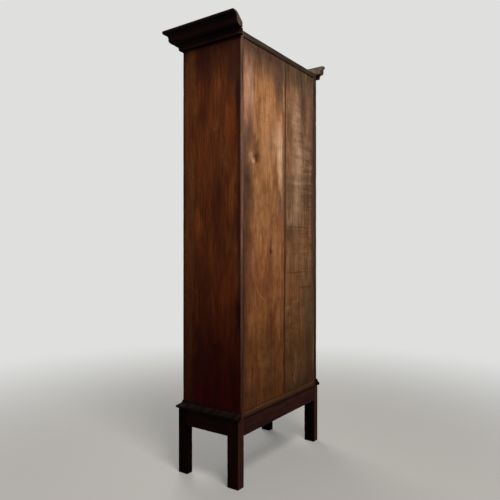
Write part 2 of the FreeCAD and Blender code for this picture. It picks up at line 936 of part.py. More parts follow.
def lock_bolt():
    """A bar, notched below for the key's bit and slotted for the stud; drawn back at rest."""
    tip = math.hypot(bit_radius, bit_thickness / 2)
    half_notch = math.sqrt(tip ** 2 - bolt_rise ** 2) + bit_thickness / 2 + bolt_notch_clearance
    notch_x = key_x - bolt_throw / 2
    notch = block((notch_x - half_notch, notch_x + half_notch), (bolt_front, bolt_back),
                  (bolt_bottom, lock_height + tip + bolt_notch_clearance))
    stud_x = door_half - lock_stud_backset
    stud_z = lock_height + lock_stud_rise
    ease = lock_stud_radius + bolt_clearance
    slot = block((stud_x - bolt_throw - ease, stud_x + ease), (bolt_front, bolt_back),
                 (stud_z - ease, stud_z + ease))
    return bolt_blank(0, door_half - bolt_length, door_half).cut([notch, slot])


def lock_spring():
    """A bent strip between the bolt and the top of the lock case."""
    high = lock_height + lock_above - lock_wall
    low = bolt_top + bolt_clearance
    start = door_half - lock_stud_backset - spring_length
    middle = start + spring_length / 2
    end = start + spring_length
    points = [vec(start, bolt_front, high), vec(start, bolt_front, high - spring_thickness),
              vec(middle, bolt_front, low), vec(end, bolt_front, high - spring_thickness),
              vec(end, bolt_front, high), vec(middle, bolt_front, low + spring_thickness)]
    return prism(points, vec(0, bolt_thickness, 0))


def keyhole(start, end):
    """The keyhole's space between two depths: a round with a slot below it."""
    half = bit_thickness / 2 + keyhole_clearance
    round_hole = rod(key_radius + keyhole_clearance,
                     vec(key_x, start, lock_height), vec(key_x, end, lock_height))
    slot = block((key_x - half, key_x + half), (start, end),
                 (lock_height - bit_radius - keyhole_clearance, lock_height))
    return fused([round_hole, slot])


def lock_cuts():
    """What the lock, its screws, its keyhole and the plate's pins take out of the door."""
    blanks = [lock_case_blank(), lock_cap_blank(), keyhole(front_y - overrun, door_back)]
    return blanks + lock_screw_blanks() + plate_pin_shanks()


def lock_stile():
    """The door's right stile with the lock let in from behind and the keyhole through it."""
    return door_stile().cut(lock_cuts())


def hinge_stile():
    """The door's left stile with the hinge leaves let in."""
    recesses = [leaf_plate(1, height, front_y) for height in hinge_heights]
    return mirrored(door_stile()).cut(recesses + leaf_screw_blanks(1))


def strike_middle():
    """Depth and height of the middle of the bolt."""
    return (bolt_front + bolt_back) / 2, (bolt_bottom + bolt_top) / 2


def strike_blank():
    """The plate that the bolt passes through, flush with the frame."""
    y, z = strike_middle()
    half_depth = bolt_thickness / 2 + strike_border
    half_rise = bolt_height / 2 + strike_ear
    return block((open_half, open_half + strike_thickness), (y - half_depth, y + half_depth),
                 (z - half_rise, z + half_rise))


def bolt_room():
    """Room for the thrown bolt in the frame."""
    return bolt_blank(strike_clearance, open_half - overrun, open_half + bolt_throw)


def strike_screw_blanks():
    """A screw above and below the strike's hole."""
    y, z = strike_middle()
    offset = (bolt_height + strike_ear) / 2
    return [screw_blank(vec(open_half, y, place), vec(1, 0, 0), screw_length)
            for place in (z - offset, z + offset)]


def strike_plate():
    """The strike with its hole and its screw holes."""
    return strike_blank().cut([bolt_room()] + strike_screw_blanks())


def key():
    """A pipe key: ring bow, collar, hollow shank and a bit that points down at rest."""
    bow_y = front_y - key_reach
    shank_y = bow_y + key_bow_radius
    collar_y = shank_y + key_collar_length
    at = [vec(key_x, y, lock_height) for y in (bow_y, shank_y, collar_y, key_tip)]
    bow = Part.makeTorus(key_bow_radius, key_bow_wire, at[0], vec(1, 0, 0))
    shank = rod(key_radius, at[1], at[3])
    collar_step = vec(0, key_collar_length, 0)
    collar = rod(key_collar_radius, at[1] + collar_step, at[2] + collar_step)
    half = bit_thickness / 2
    bit = block((key_x - half, key_x + half), (bit_front, bit_back), (lock_height - bit_radius, lock_height))
    depth = lock_room_back - lock_front
    bore = rod(key_pin_radius + key_pin_clearance, vec(key_x, lock_front - key_pin_radius, lock_height),
               vec(key_x, lock_front + depth, lock_height))
    return fused([bow, shank, collar, bit]).cut(bore)


def plate_pin_places():
    """Heights of the two pins of the keyhole plate."""
    reach = plate_half_height - plate_pin_inset
    return lock_height - reach, lock_height + reach


def plate_pin_shanks():
    """The round shanks of the keyhole plate's pins."""
    return [rod(plate_pin_radius, vec(key_x, front_y - plate_thickness, z),
                vec(key_x, front_y + plate_pin_length, z)) for z in plate_pin_places()]


def plate_pins():
    """Domed pins that hold the keyhole plate."""
    pins = []
    for z, shank in zip(plate_pin_places(), plate_pin_shanks()):
        dome = Part.makeSphere(plate_pin_head_radius, vec(key_x, front_y - plate_thickness, z),
                               vec(0, -1, 0), 0, 90, 360)
        pins.append(fused([shank, dome]))
    return pins


def keyhole_plate():
    """An upright oval plate round the keyhole."""
    middle = vec(key_x, front_y, lock_height)
    oval = Part.Ellipse(middle + vec(0, 0, plate_half_height), middle + vec(plate_half_width, 0, 0), middle)
    face = Part.Face(Part.Wire([oval.toShape()]))
    plate = face.extrude(vec(0, -plate_thickness, 0))
    return plate.cut([keyhole(front_y - plate_thickness - overrun, front_y + overrun)] + plate_pin_shanks())


# The whole cupboard, piece by piece

def stand():
    pieces = {"leg_front_left": leg(-1, -1), "leg_front_right": leg(1, -1),
              "leg_back_left": leg(-1, 1), "leg_back_right": leg(1, 1),
              "apron_front": cross_apron(-1), "apron_back": cross_apron(1),
              "apron_left": side_apron(-1), "apron_right": side_apron(1),
              "stand_glue_blocks": stand_blocks()}
    pieces.update(moulding("waist_moulding", waist_outline(), waist_overhang))
    return pieces


def case():
    right = side_board()
    narrow, wide = back_boards()
    low, middle, high = shelf_tops()
    screws = [slotted(blank) for side in (-1, 1) for blank in cleat_screw_blanks(side)]
    bottom_rail, top_rail = frame_rail_ends()
    return {"side_right": right, "side_left": mirrored(right),
            "top_board": cross_board(top_under, top_thickness),
            "bottom_board": cross_board(stand_height, bottom_thickness),
            "back_board_left": narrow, "back_board_right": wide,
            "back_battens": back_battens(), "back_nails": back_nails(),
            "frame_stile_left": hinge_side_stile(), "frame_stile_right": lock_side_stile(),
            "frame_rail_bottom": frame_rail(*bottom_rail), "frame_rail_top": frame_rail(*top_rail),
            "frame_pegs": frame_pegs(), "door_stop": door_stop(),
            "shelf_lower": shelf(low), "shelf_middle": shelf(middle), "shelf_upper": shelf(high),
            "shelf_cleats": cleats(), "cleat_screws": screws}


def cornice():
    pieces = {"cornice_glue_blocks": cornice_blocks()}
    pieces.update(moulding("bed_moulding", bed_outline(), bed_overhang))
    pieces.update(moulding("crown_moulding", crown_outline(), cornice_overhang))
    return pieces


def door():
    bottom_rail, middle_rail, top_rail = door_rails()
    lower, upper = door_sights()
    return {"door_hinge_stile": hinge_stile(), "door_lock_stile": lock_stile(),
            "door_rail_bottom": door_rail(*bottom_rail), "door_rail_middle": door_rail(*middle_rail),
            "door_rail_top": door_rail(*top_rail),
            "door_panel_lower": door_panel(*lower), "door_panel_upper": door_panel(*upper),
            "panel_beads": panel_beads(*lower) + panel_beads(*upper), "door_pegs": door_pegs()}


def hardware():
    frame_screws = leaf_screw_blanks(-1) + strike_screw_blanks()
    door_screws = leaf_screw_blanks(1) + lock_screw_blanks()
    return {"hinge_frame_leaves": [hinge_leaf(-1, height) for height in hinge_heights],
            "hinge_door_leaves": [hinge_leaf(1, height) for height in hinge_heights],
            "hinge_pins": [hinge_pin(height) for height in hinge_heights],
            "frame_screws": [slotted(blank) for blank in frame_screws],
            "door_screws": [slotted(blank) for blank in door_screws],
            "lock_case": lock_case(), "lock_cap": lock_cap(), "lock_bolt": lock_bolt(),
            "lock_spring": lock_spring(), "strike_plate": strike_plate(), "key": key(),
            "keyhole_plate": keyhole_plate(), "keyhole_plate_pins": plate_pins()}


def save(name, shapes):
    """Write one piece, or a group of like pieces, as separate solids."""
    group = shapes if isinstance(shapes, list) else [shapes]
    solids = [solid for shape in group for solid in shape.Solids]
    whole = solids[0] if len(solids) == 1 else Part.makeCompound(solids)
    whole.exportStep(os.path.join("parts", name + ".step"))
    return len(solids), all(solid.isValid() for solid in solids)


def main():
    os.makedirs("parts", exist_ok=True)
    for section in (stand, case, cornice, door, hardware):
        for name, shapes in section().items():
            count, sound = save(name, shapes)
            print(name, count, "sound" if sound else "NOT SOUND")


main()
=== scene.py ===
# %% [markdown]
# # A bonnetiere cabinet, dressed
# A bonnetiere is a tall, narrow cupboard for caps and linen. This one stands on a low stand with straight
# legs. It has a moulded cornice, polished mahogany sides and rough back boards, meant to face a wall.
# The construction is already made at its real size, so this lesson only gives it its looks: eased and worn
# edges, boards that have moved with age, timber with grain, and metal with tarnish.
# Everything is in metres, in the same frame as the construction: +Z is up and the door faces -Y.

import json
import math
from types import SimpleNamespace

import bmesh
import bpy
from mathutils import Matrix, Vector, noise

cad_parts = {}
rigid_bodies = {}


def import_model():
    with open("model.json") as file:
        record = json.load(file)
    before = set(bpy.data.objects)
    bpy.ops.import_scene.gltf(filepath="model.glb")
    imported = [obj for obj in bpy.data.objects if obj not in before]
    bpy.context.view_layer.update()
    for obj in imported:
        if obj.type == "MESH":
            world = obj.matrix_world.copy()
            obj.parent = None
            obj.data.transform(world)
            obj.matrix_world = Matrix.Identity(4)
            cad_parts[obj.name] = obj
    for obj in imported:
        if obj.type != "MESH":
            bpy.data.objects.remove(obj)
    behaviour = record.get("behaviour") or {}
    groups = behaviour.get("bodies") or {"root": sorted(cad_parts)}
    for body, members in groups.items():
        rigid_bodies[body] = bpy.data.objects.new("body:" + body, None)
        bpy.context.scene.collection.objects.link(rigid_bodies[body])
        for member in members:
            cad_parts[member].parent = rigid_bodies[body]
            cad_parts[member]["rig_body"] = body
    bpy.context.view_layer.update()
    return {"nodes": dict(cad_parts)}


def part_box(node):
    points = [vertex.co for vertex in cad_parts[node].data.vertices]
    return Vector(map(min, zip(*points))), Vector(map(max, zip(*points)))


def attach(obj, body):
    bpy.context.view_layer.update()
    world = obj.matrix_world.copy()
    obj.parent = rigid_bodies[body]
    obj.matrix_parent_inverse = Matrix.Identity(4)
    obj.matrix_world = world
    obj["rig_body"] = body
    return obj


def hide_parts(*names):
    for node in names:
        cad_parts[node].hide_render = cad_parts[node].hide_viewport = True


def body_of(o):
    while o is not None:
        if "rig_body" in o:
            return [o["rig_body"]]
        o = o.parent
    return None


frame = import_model()
nodes = frame["nodes"]
mm = 0.001

# %% [markdown]
# ## Colour and nodes
# A given colour is an sRGB value, and a shader works with linear light, so one function turns a hex
# value into linear numbers. A second one adds a node: it sets the node up, sets or links its inputs, and
# gives back the output that the next node needs. Nodes could be wired by hand in the editor, or with a line
# of code for each socket. With one function for them all, a material reads from top to bottom like a recipe.

# %% Two small helpers


def linear(hex_colour):
    """A hex colour as linear red, green, blue and full alpha."""
    parts = [int(hex_colour[start:start + 2], 16) / 255 for start in (1, 3, 5)]
    return [p / 12.92 if p <= 0.04045 else ((p + 0.055) / 1.055) ** 2.4 for p in parts] + [1.0]


def add(tree, kind, inputs=(), output=None, stops=(), **settings):
    """Adds a node with its settings and links. Inputs are a list in the node's order, or go by name."""
    node = tree.nodes.new("ShaderNode" + kind)
    for name, value in settings.items():
        setattr(node, name, value)
    for index, (place, colour) in enumerate(stops):
        ramp = node.color_ramp.elements
        element = ramp[index] if index < len(ramp) else ramp.new(place)
        element.position = place
        element.color = linear(colour)
    sockets = [socket for socket in node.inputs if socket.enabled]
    if isinstance(inputs, dict):
        sockets = [next(s for s in sockets if s.name == name) for name in inputs]
        inputs = inputs.values()
    for socket, value in zip(sockets, inputs):
        if isinstance(value, bpy.types.NodeSocket):
            tree.links.new(value, socket)
        else:
            socket.default_value = value
    ready = [socket for socket in node.outputs if socket.enabled]
    return ready[0] if output is None else next(s for s in ready if s.name == output)


print("mid mahogany in linear light:", [round(c, 3) for c in linear("#4b2210")])

# %% [markdown]
# ## Timber
# Sawn timber is a bundle of fibres, so nearly everything on it is long and thin: broad bands of tone, the
# ribbons of an interlocked grain, narrow streaks and hair-fine pores. Each of these is noise that is
# stretched along the fibres. The stretch comes from two real sizes in millimetres, the width and the length
# of one streak. An image could hold the same marks, but noise in the piece's own coordinates runs on through
# the end grain and never repeats.

# %% Streaks along the fibres
noise_roughness = 0.55


def grain(tree, place, along, wide_mm, long_mm, detail=2.0, distortion=0.0):
    """Soft streaks, wide_mm across the fibres and long_mm along them."""
    sizes = [long_mm if axis == along else wide_mm for axis in "XYZ"]
    squeezed = add(tree, "Mapping", {"Vector": place, "Scale": [1 / (size * mm) for size in sizes]})
    return add(tree, "TexNoise", {"Vector": squeezed, "Scale": 1.0, "Detail": detail,
                                  "Roughness": noise_roughness, "Distortion": distortion})


def shaken(tree, place, size_mm, amounts_mm):
    """The same places, each pushed aside by slow noise, so that nothing drawn there runs dead straight."""
    slow = add(tree, "TexNoise", {"Vector": place, "Scale": 1 / (size_mm * mm), "Detail": 2.0}, "Color")
    centred = add(tree, "VectorMath", [slow, [0.5, 0.5, 0.5]], operation="SUBTRACT")
    widest = [2 * amount * mm for amount in amounts_mm]
    push = add(tree, "VectorMath", [centred, widest], operation="MULTIPLY")
    return add(tree, "VectorMath", [place, push])


def weigh(tree, *pairs):
    """The sum of values, each times its weight."""
    total = 0.0
    for value, weight in pairs:
        total = add(tree, "Math", [value, weight, total], operation="MULTIPLY_ADD")
    return total


print("streaks ready")

# %% [markdown]
# Old boards carry marks that have a place: a knot, a stain, a darker foot. An oval patch with a soft rim is
# enough for all of them once its rim is broken up by noise. Marks could be painted by hand, but a patch that
# is placed by its real distances, across the board and up from the floor, stays right at any picture size.
# Fibres also part round a knot as water does round a stone. Reading the grain a little further out beside
# the knot gives that flow.

# %% Patches
smooth = {"interpolation_type": "SMOOTHSTEP"}


def on_board(across, sideways, up):
    """A vector from a value across a board and a value up it."""
    return [sideways if axis == across else 0.0 for axis in "XY"] + [up]


def seen_from(tree, place, across, centre_mm):
    """Each place as it lies from a point of the board."""
    middle = on_board(across, centre_mm[0] * mm, centre_mm[1] * mm)
    return add(tree, "VectorMath", [place, middle], operation="SUBTRACT")


def patch(tree, place, across, centre_mm, half_mm, soft):
    """An oval of 1 on a board, 0 outside; half_mm is its half width and half height at half strength."""
    away = seen_from(tree, place, across, centre_mm)
    reach = on_board(across, 1 / (half_mm[0] * mm), 1 / (half_mm[1] * mm))
    share = add(tree, "VectorMath", [away, reach], operation="MULTIPLY")
    far = add(tree, "VectorMath", [share], operation="LENGTH")
    return add(tree, "MapRange", [far, 1 + soft / 2, 1 - soft / 2], **smooth)


print("patches ready")

# %% Knots and scratches


def flow_round(tree, place, across, centre_mm, half_mm, push_mm):
    """Bends the fibres round a knot."""
    away = seen_from(tree, place, across, centre_mm)
    sideways = add(tree, "VectorMath", [away, on_board(across, 1.0, 0.0)], operation="MULTIPLY")
    near = patch(tree, place, across, centre_mm, half_mm, 1.0)
    push = add(tree, "Math", [near, -push_mm / half_mm[0]], operation="MULTIPLY")
    bend = add(tree, "VectorMath", [sideways, push], operation="SCALE")
    return add(tree, "VectorMath", [place, bend])


def arc(tree, place, across, centre_mm, radius_mm, half_mm):
    """A thin ring of 1 on a board, for a scratch that something swung across it."""
    away = seen_from(tree, place, across, centre_mm)
    flat = add(tree, "VectorMath", [away, on_board(across, 1.0, 1.0)], operation="MULTIPLY")
    far = add(tree, "VectorMath", [flat], operation="LENGTH")
    past = add(tree, "Math", [far, radius_mm * mm], operation="SUBTRACT")
    off = add(tree, "Math", [past], operation="ABSOLUTE")
    return add(tree, "MapRange", [off, 1.5 * half_mm * mm, 0.5 * half_mm * mm], **smooth)


print("knots and scratches ready")

# %% [markdown]
# A board starts as a part of a log. Five kinds of streak lie over each other in it, and the growth rings show
# as arches where the saw crossed them. One ramp of colours runs from the dark to the pale fibres. A second
# ramp may show in slow patches, as heartwood varies in hue. A wood texture with even rings would be quicker,
# but its bands look drawn.
#
# Real pores are about 0.2 mm wide, too fine for the picture, so they are drawn 1.5 mm wide.

# %% Fibres of a board
wander = (240, (9, 9, 9))
bands_mm = [(42, 560, 2.0, 0.3), (26, 120, 3.0, 1.0), (13, 150, 2.0, 0.5), (5, 80, 3.0), (1.5, 26, 2.0)]
ring_band_mm = (100, 560, 1.0, 0.2)
ring_count = 11
stain_rim = (44, (11, 11, 34))
line_rim = (22, (2.2, 2.2, 3.5))


def fibres(tree, along, across, shift_mm, knots):
    """What every mark on a board needs: its places and its streaks. shift_mm picks a part of the log."""
    own = add(tree, "TexCoord", [], "Object")
    place = shaken(tree, own, *wander)
    for knot in knots:
        place = flow_round(tree, place, across, *knot)
    log = add(tree, "VectorMath", [place, [shift_mm * mm] * 3])
    streaks = [grain(tree, log, along, *band) for band in bands_mm]
    broad, flame, ribbon, streak, pore = streaks
    arch = grain(tree, log, along, *ring_band_mm)
    turn = add(tree, "Math", [arch, ring_count * math.tau], operation="MULTIPLY")
    ring = add(tree, "Math", [turn], operation="SINE")
    ragged = shaken(tree, own, *stain_rim)
    wavy = shaken(tree, own, *line_rim)
    return SimpleNamespace(along=along, across=across, own=own, log=log, ragged=ragged, wavy=wavy, ring=ring,
                           streaks=streaks, broad=broad, flame=flame, streak=streak, pore=pore)


print(len(bands_mm), "kinds of streak")

# %% Tone and hue
plain_figure = (0.34, 0.0, 0.30, 0.24, 0.12)
cloudy_figure = (0.28, 0.36, 0.13, 0.13, 0.10)
smooth_figure = (0.34, 0.40, 0.10, 0.09, 0.07)
ribbon_figure = (0.30, 0.34, 0.14, 0.16, 0.06)
ring_weight = 0.05
hue_band_mm = (70, 260, 2.0, 0.4)
hue_span = (0.42, 0.6)
over = {"data_type": "RGBA"}
multiplied = {"data_type": "RGBA", "blend_type": "MULTIPLY"}


def heartwood(tree, board, tones, warm, figure, spread, rings):
    """The colours of the fibres. figure weighs the five kinds of streak, rings the arches."""
    tone = weigh(tree, *zip(board.streaks, figure), (board.ring, ring_weight * rings))
    even = add(tree, "MapRange", [tone, 0.5 - spread, 0.5 + spread], **smooth)
    colour = add(tree, "ValToRGB", [even], stops=tones)
    if warm:
        slow = grain(tree, board.log, board.along, *hue_band_mm)
        share = add(tree, "MapRange", [slow, *hue_span], **smooth)
        colour = add(tree, "Mix", [share, colour, add(tree, "ValToRGB", [even], stops=warm)], **over)
    return colour


print("figures: plain, cloudy, smooth, ribboned")

# %% [markdown]
# Age then lays its marks over the fibres, each a small step that takes a colour and gives one back:
# - `tints` are dirt, polish and painted shade that deepen along an axis, such as towards the floor;
# - `stains` are patches; wide ones soak in along the fibres, small ones stay lines and dots;
# - `mottle` is how much the bare wood has gone blotchy;
# - `saw` marks are rows of dirt across the fibres, and a `scratch` is a pale arc;
# - a `seam` is the dark joint of two boards, which may lean;
# - `dust` lies on whatever looks up, and on the waist it also serves as a painted highlight.
#
# All this could be one long chain of nodes. Small steps let each timber take only what it has.

# %% Tints and stains
stain_least_mm = 9
streak_soak = (0.3, 0.66, 0.65)
flame_soak = (0.34, 0.62, 0.65)
soak_shares = (0.35, 0.65)
blotch_mm = 46
blotch_span = (0.44, 0.68)
blotch_colour = "#8a5c44"


def tinted(tree, board, colour, tints):
    """Deepens a colour along an axis, from the first place to the one where it is full."""
    for axis, first_mm, full_mm, tint in tints:
        place = add(tree, "SeparateXYZ", [board.own], axis)
        share = add(tree, "MapRange", [place, first_mm * mm, full_mm * mm], **smooth)
        colour = add(tree, "Mix", [share, colour, linear(tint)], **multiplied)
    return colour


def stained(tree, board, colour, stains):
    """Lays patches over a colour: centre, half size, softness, colour and strength of each."""
    by_streak = add(tree, "MapRange", [board.streak, *streak_soak], **smooth)
    by_flame = add(tree, "MapRange", [board.flame, *flame_soak], **smooth)
    soaked = weigh(tree, *zip((by_streak, by_flame), soak_shares))
    for centre, half, soft, tint, share in stains:
        wide = min(half) > stain_least_mm
        oval = patch(tree, board.ragged if wide else board.wavy, board.across, centre, half, soft)
        cover = add(tree, "Math", [oval, share], operation="MULTIPLY")
        if wide:
            cover = add(tree, "Math", [cover, soaked], operation="MULTIPLY")
        colour = add(tree, "Mix", [cover, colour, linear(tint)], **over)
    return colour


def mottled(tree, board, colour, mottle):
    """Darkens a colour in blotches."""
    spots = add(tree, "TexNoise", {"Vector": board.own, "Scale": 1 / (blotch_mm * mm), "Detail": 4.0})
    share = add(tree, "MapRange", [spots, *blotch_span, 0.0, mottle], **smooth)
    return add(tree, "Mix", [share, colour, linear(blotch_colour)], **multiplied)


print("tints, stains and blotches ready")

# %% Saw marks, scratch and seam
saw_span = (0.4, 0.72)
saw_soft = 1.5
scratch_soft = 0.9
seam_middle_mm = 875
seam_half_mm = (3.6, 900)
seam_soft = 1.3
seam_colour = "#331b0b"


def sawn(tree, board, colour, saw):
    """Rows of dirt across the fibres: centre, half size, width and length of a row, colour, strength."""
    for centre, half, row_mm, dash_mm, dirt, share in saw:
        rows = grain(tree, board.wavy, board.across, row_mm, dash_mm, 1.0)
        zone = patch(tree, board.ragged, board.across, centre, half, saw_soft)
        marked = add(tree, "Math", [zone, share], operation="MULTIPLY")
        lines = add(tree, "MapRange", [rows, *saw_span], **smooth)
        cover = add(tree, "Math", [lines, marked], operation="MULTIPLY")
        colour = add(tree, "Mix", [cover, colour, linear(dirt)], **over)
    return colour


def scratched(tree, board, colour, centre, radius, half, zone, pale, share):
    """A pale arc that shows only inside its zone."""
    ring = arc(tree, board.own, board.across, centre, radius, half)
    shown = patch(tree, board.own, board.across, *zone, scratch_soft)
    line = add(tree, "Math", [ring, shown], operation="MULTIPLY")
    cover = add(tree, "Math", [line, share], operation="MULTIPLY")
    return add(tree, "Mix", [cover, colour, linear(pale)], **over)


def seamed(tree, board, colour, foot_mm, lean):
    """The dark joint of two boards; foot_mm is where it would meet the floor."""
    upright = add(tree, "Mapping", {"Vector": board.own, "Rotation": [0.0, lean, 0.0]})
    cover = patch(tree, upright, board.across, (foot_mm, seam_middle_mm), seam_half_mm, seam_soft)
    return add(tree, "Mix", [cover, colour, linear(seam_colour)], **over)


print("saw marks, scratch and seam ready")

# %% Dust and painted highlight
dust_clump_mm = 22
dust_tilt = (0.1, 0.75)
dust_clumps = (0.36, 0.66, 0.25)


def dusted_and_highlit(tree, board, colour, dust_colour, share):
    """Lays dust on what looks up, thicker in clumps; on the waist the same grey is also a painted highlight.
    """
    facing = add(tree, "SeparateXYZ", [add(tree, "NewGeometry", [], "Normal")], "Z")
    upward = add(tree, "MapRange", [facing, *dust_tilt], **smooth)
    spots = add(tree, "TexNoise", {"Vector": board.own, "Scale": 1 / (dust_clump_mm * mm), "Detail": 4.0})
    clumps = add(tree, "MapRange", [spots, *dust_clumps], **smooth)
    laid = add(tree, "Math", [upward, clumps], operation="MULTIPLY")
    cover = add(tree, "Math", [laid, share], operation="MULTIPLY")
    return add(tree, "Mix", [cover, colour, linear(dust_colour)], **over)


print("dust ready")

# %% [markdown]
# One function puts these steps in the order in which they happened to the board, and makes every timber in
# the cabinet, finished or raw. A wood finish has an IOR near 1.5, but an old, dry film scatters most of its
# gloss, so the IOR keeps its default and the specular level is set low. Roughness starts from 0.5 for worn
# polish and 0.8 for bare wood, and the pores stand in a shallow bump.

# %% One function for every timber
fine_shares, fine_span = (0.6, 0.4), (0.32, 0.68)
dull_shares, dull_span = (0.5, 0.5), (0.3, 0.7)
pore_bump = 0.4


def start(name):
    """An empty material with its node tree and its shader."""
    material = bpy.data.materials.new(name)
    material.use_nodes = True
    return material, material.node_tree, material.node_tree.nodes["Principled BSDF"]


def timber(name, along, tones, shift_mm, warm=None, tints=(), stains=(), knots=(), across="X", seam=None,
           saw=(), scratch=None, figure=plain_figure, rough=(0.5, 0.68), shine=0.03, spread=0.2, rings=0.0,
           streak_shade=0.14, mottle=0.0, relief_mm=0.25, dust=None):
    """A timber material whose fibres run along an axis."""
    material, tree, shader = start(name)
    board = fibres(tree, along, across, shift_mm, knots)
    colour = heartwood(tree, board, tones, warm, figure, spread, rings)
    colour = tinted(tree, board, colour, tints)
    colour = stained(tree, board, colour, stains)
    if mottle:
        colour = mottled(tree, board, colour, mottle)
    colour = sawn(tree, board, colour, saw)
    if scratch:
        colour = scratched(tree, board, colour, *scratch)
    if seam:
        colour = seamed(tree, board, colour, *seam)
    fine = weigh(tree, *zip((board.streak, board.pore), fine_shares))
    shade = add(tree, "MapRange", [fine, *fine_span, 1 - streak_shade, 1 + streak_shade], **smooth)
    colour = add(tree, "Mix", [1.0, colour, shade], **multiplied)
    if dust:
        colour = dusted_and_highlit(tree, board, colour, *dust)
    dull = weigh(tree, *zip((board.broad, board.streak), dull_shares))
    worn = add(tree, "MapRange", [dull, *dull_span, *rough], **smooth)
    bumped = add(tree, "Bump", {"Height": fine, "Strength": pore_bump, "Distance": relief_mm * mm})
    tree.links.new(colour, shader.inputs["Base Color"])
    tree.links.new(worn, shader.inputs["Roughness"])
    tree.links.new(bumped, shader.inputs["Normal"])
    shader.inputs["Specular IOR Level"].default_value = shine
    return material


print("one timber function")

# %% [markdown]
# ## Old polished mahogany
# Mahogany is a red-brown hardwood with open pores and an interlocked grain that shows as soft ribbons.
# This one was french polished long ago: shellac rubbed on with a pad, which darkens the wood, fills most
# pores and leaves a low, uneven shine. On the sides the film has gone brown-gold near the front and nearly
# black towards the floor, a darkening that is partly painted shade; the dark band under the cornice is a
# painted shadow.
# One colour with a gloss coat would look like plastic, so the film is given as tints and clouds in the wood,
# with little shine.

# %% Sides
side_tones = [(0.0, "#3a1c0f"), (0.4, "#502814"), (0.68, "#5e3218"), (1.0, "#6e3f1f")]
side_warm = [(0.0, "#3a190d"), (0.4, "#502512"), (0.7, "#5d2d15"), (1.0, "#6a371b")]
# darker towards the floor, partly dirt and partly painted shade; darker under the cornice, a painted shadow;
# a darker strip along the front edge
side_tints = [("Z", 900, 290, "#883226"), ("Z", 1300, 1480, "#a49cb0"), ("Y", -97, -104, "#6f6a62")]
side_stains = [
    # brown-gold band along the front edge
    ((-78, 980), (20, 560), 1.6, "#58351b", 0.6),
    ((-94, 420), (12, 230), 1.6, "#3f1e0d", 0.5),
    # rear edge, darkened where hands took hold
    ((140, 1310), (14, 250), 1.6, "#1f0f0c", 1.0),
    ((112, 1390), (24, 90), 1.6, "#2f1812", 0.8),
    ((142, 860), (9, 280), 1.6, "#33140b", 0.9),
    ((139, 580), (14, 66), 1.4, "#120402", 1.0),
    # dark and light clouds of the figure
    ((52, 1005), (13, 62), 1.6, "#2f150b", 0.9),
    ((40, 930), (18, 90), 1.6, "#3a1a0e", 0.7),
    ((66, 800), (16, 80), 1.6, "#3f1b0e", 0.6),
    ((-44, 885), (16, 56), 1.6, "#733619", 0.6),
    ((-66, 1010), (11, 90), 1.6, "#684020", 0.7),
    ((104, 1215), (16, 70), 1.6, "#6c2f11", 0.7),
    ((10, 1120), (50, 120), 1.6, "#643218", 0.6),
    ((-6, 1270), (14, 46), 1.6, "#3c1c10", 0.7),
    ((4, 1430), (40, 46), 1.6, "#2f1510", 0.7),
    ((-66, 1400), (16, 90), 1.6, "#5f381b", 0.6),
    # clouds low on the side, with a small dark eye
    ((96, 660), (34, 80), 1.6, "#5f2911", 0.6),
    ((-6, 690), (30, 70), 1.6, "#3f1a0e", 0.5),
    ((-8, 560), (22, 90), 1.6, "#331509", 0.6),
    ((38, 462), (24, 13), 1.4, "#1d0904", 0.9),
    ((-26, 400), (16, 90), 1.6, "#230a06", 0.6),
    ((90, 560), (30, 20), 1.6, "#4c1e0e", 0.6),
]
side_mahogany = timber("french_polished_mahogany_side", "Z", side_tones, 130, side_warm, side_tints,
                       side_stains, across="Y", figure=ribbon_figure, spread=0.18, rings=0.4,
                       streak_shade=0.2)
print(side_mahogany.name, "with", len(side_stains), "clouds")

# %% [markdown]
# The stand and the mouldings were stained nearly black before the polish, so the eye gets their outline and a
# red glint on the edges. House dust greys the top of the waist, and that grey also serves as a painted
# highlight on its upward faces. The dark lines in the quirks, the narrow grooves of a moulding, are painted
# shade, and a pale line along the foot of the bed moulding is a painted highlight. The front was polished
# with more care and keeps a soft shine.
# These could share one dark colour, but the grain has to run along each stick, so there is one finish for
# each direction.
# The front legs and the inner faces of the back legs get still darker tones, which are painted shade.

# %% Stand and mouldings
dark_tones = [(0.0, "#080101"), (0.5, "#110302"), (1.0, "#200a06")]
# the darkest tones stand for faces in shade under the stand: painted shade
leg_shade_tones = [(0.0, "#040101"), (0.5, "#0a0202"), (1.0, "#160705")]
whole_length = 9000
# grey on the waist's upward faces: house dust, and also a painted highlight
dust_and_highlight = ("#4b4039", 0.12)
# dark line in the waist's quirk: painted shade
waist_quirk_shade = [((0, 241), (whole_length, 1.5), 0.6, "#030101", 0.9)]
# dark lines in the quirks of the crown and bed are painted shade; the pale line at 1503 mm is a painted
# highlight
quirk_shade_and_highlight = [
    ((0, 1555), (whole_length, 2.6), 0.5, "#030101", 0.9),
    ((0, 1520), (whole_length, 3.4), 0.5, "#030101", 0.9),
    ((0, 1503), (whole_length, 1.8), 0.8, "#3a241b", 0.45),
    ((0, 1498), (whole_length, 1.6), 0.5, "#030101", 0.9),
]
dark_mahogany, waist_mahogany, crown_mahogany = {}, {}, {}
for axis in "XYZ":
    dark_mahogany[axis] = timber(f"dark_stained_mahogany_along_{axis.lower()}", axis, dark_tones, 310,
                                 shine=0.02)
for axis in "XY":
    waist_mahogany[axis] = timber(f"dusty_highlit_stained_mahogany_along_{axis.lower()}", axis, dark_tones, 350,
                                  shine=0.02, stains=waist_quirk_shade, dust=dust_and_highlight)
    crown_mahogany[axis] = timber(f"crown_stained_mahogany_along_{axis.lower()}", axis, dark_tones, 380,
                                  shine=0.03, stains=quirk_shade_and_highlight)
painted_shade_mahogany = timber("stained_mahogany_in_painted_shade", "Z", leg_shade_tones, 330, shine=0.01)
print(len(bpy.data.materials), "materials so far")

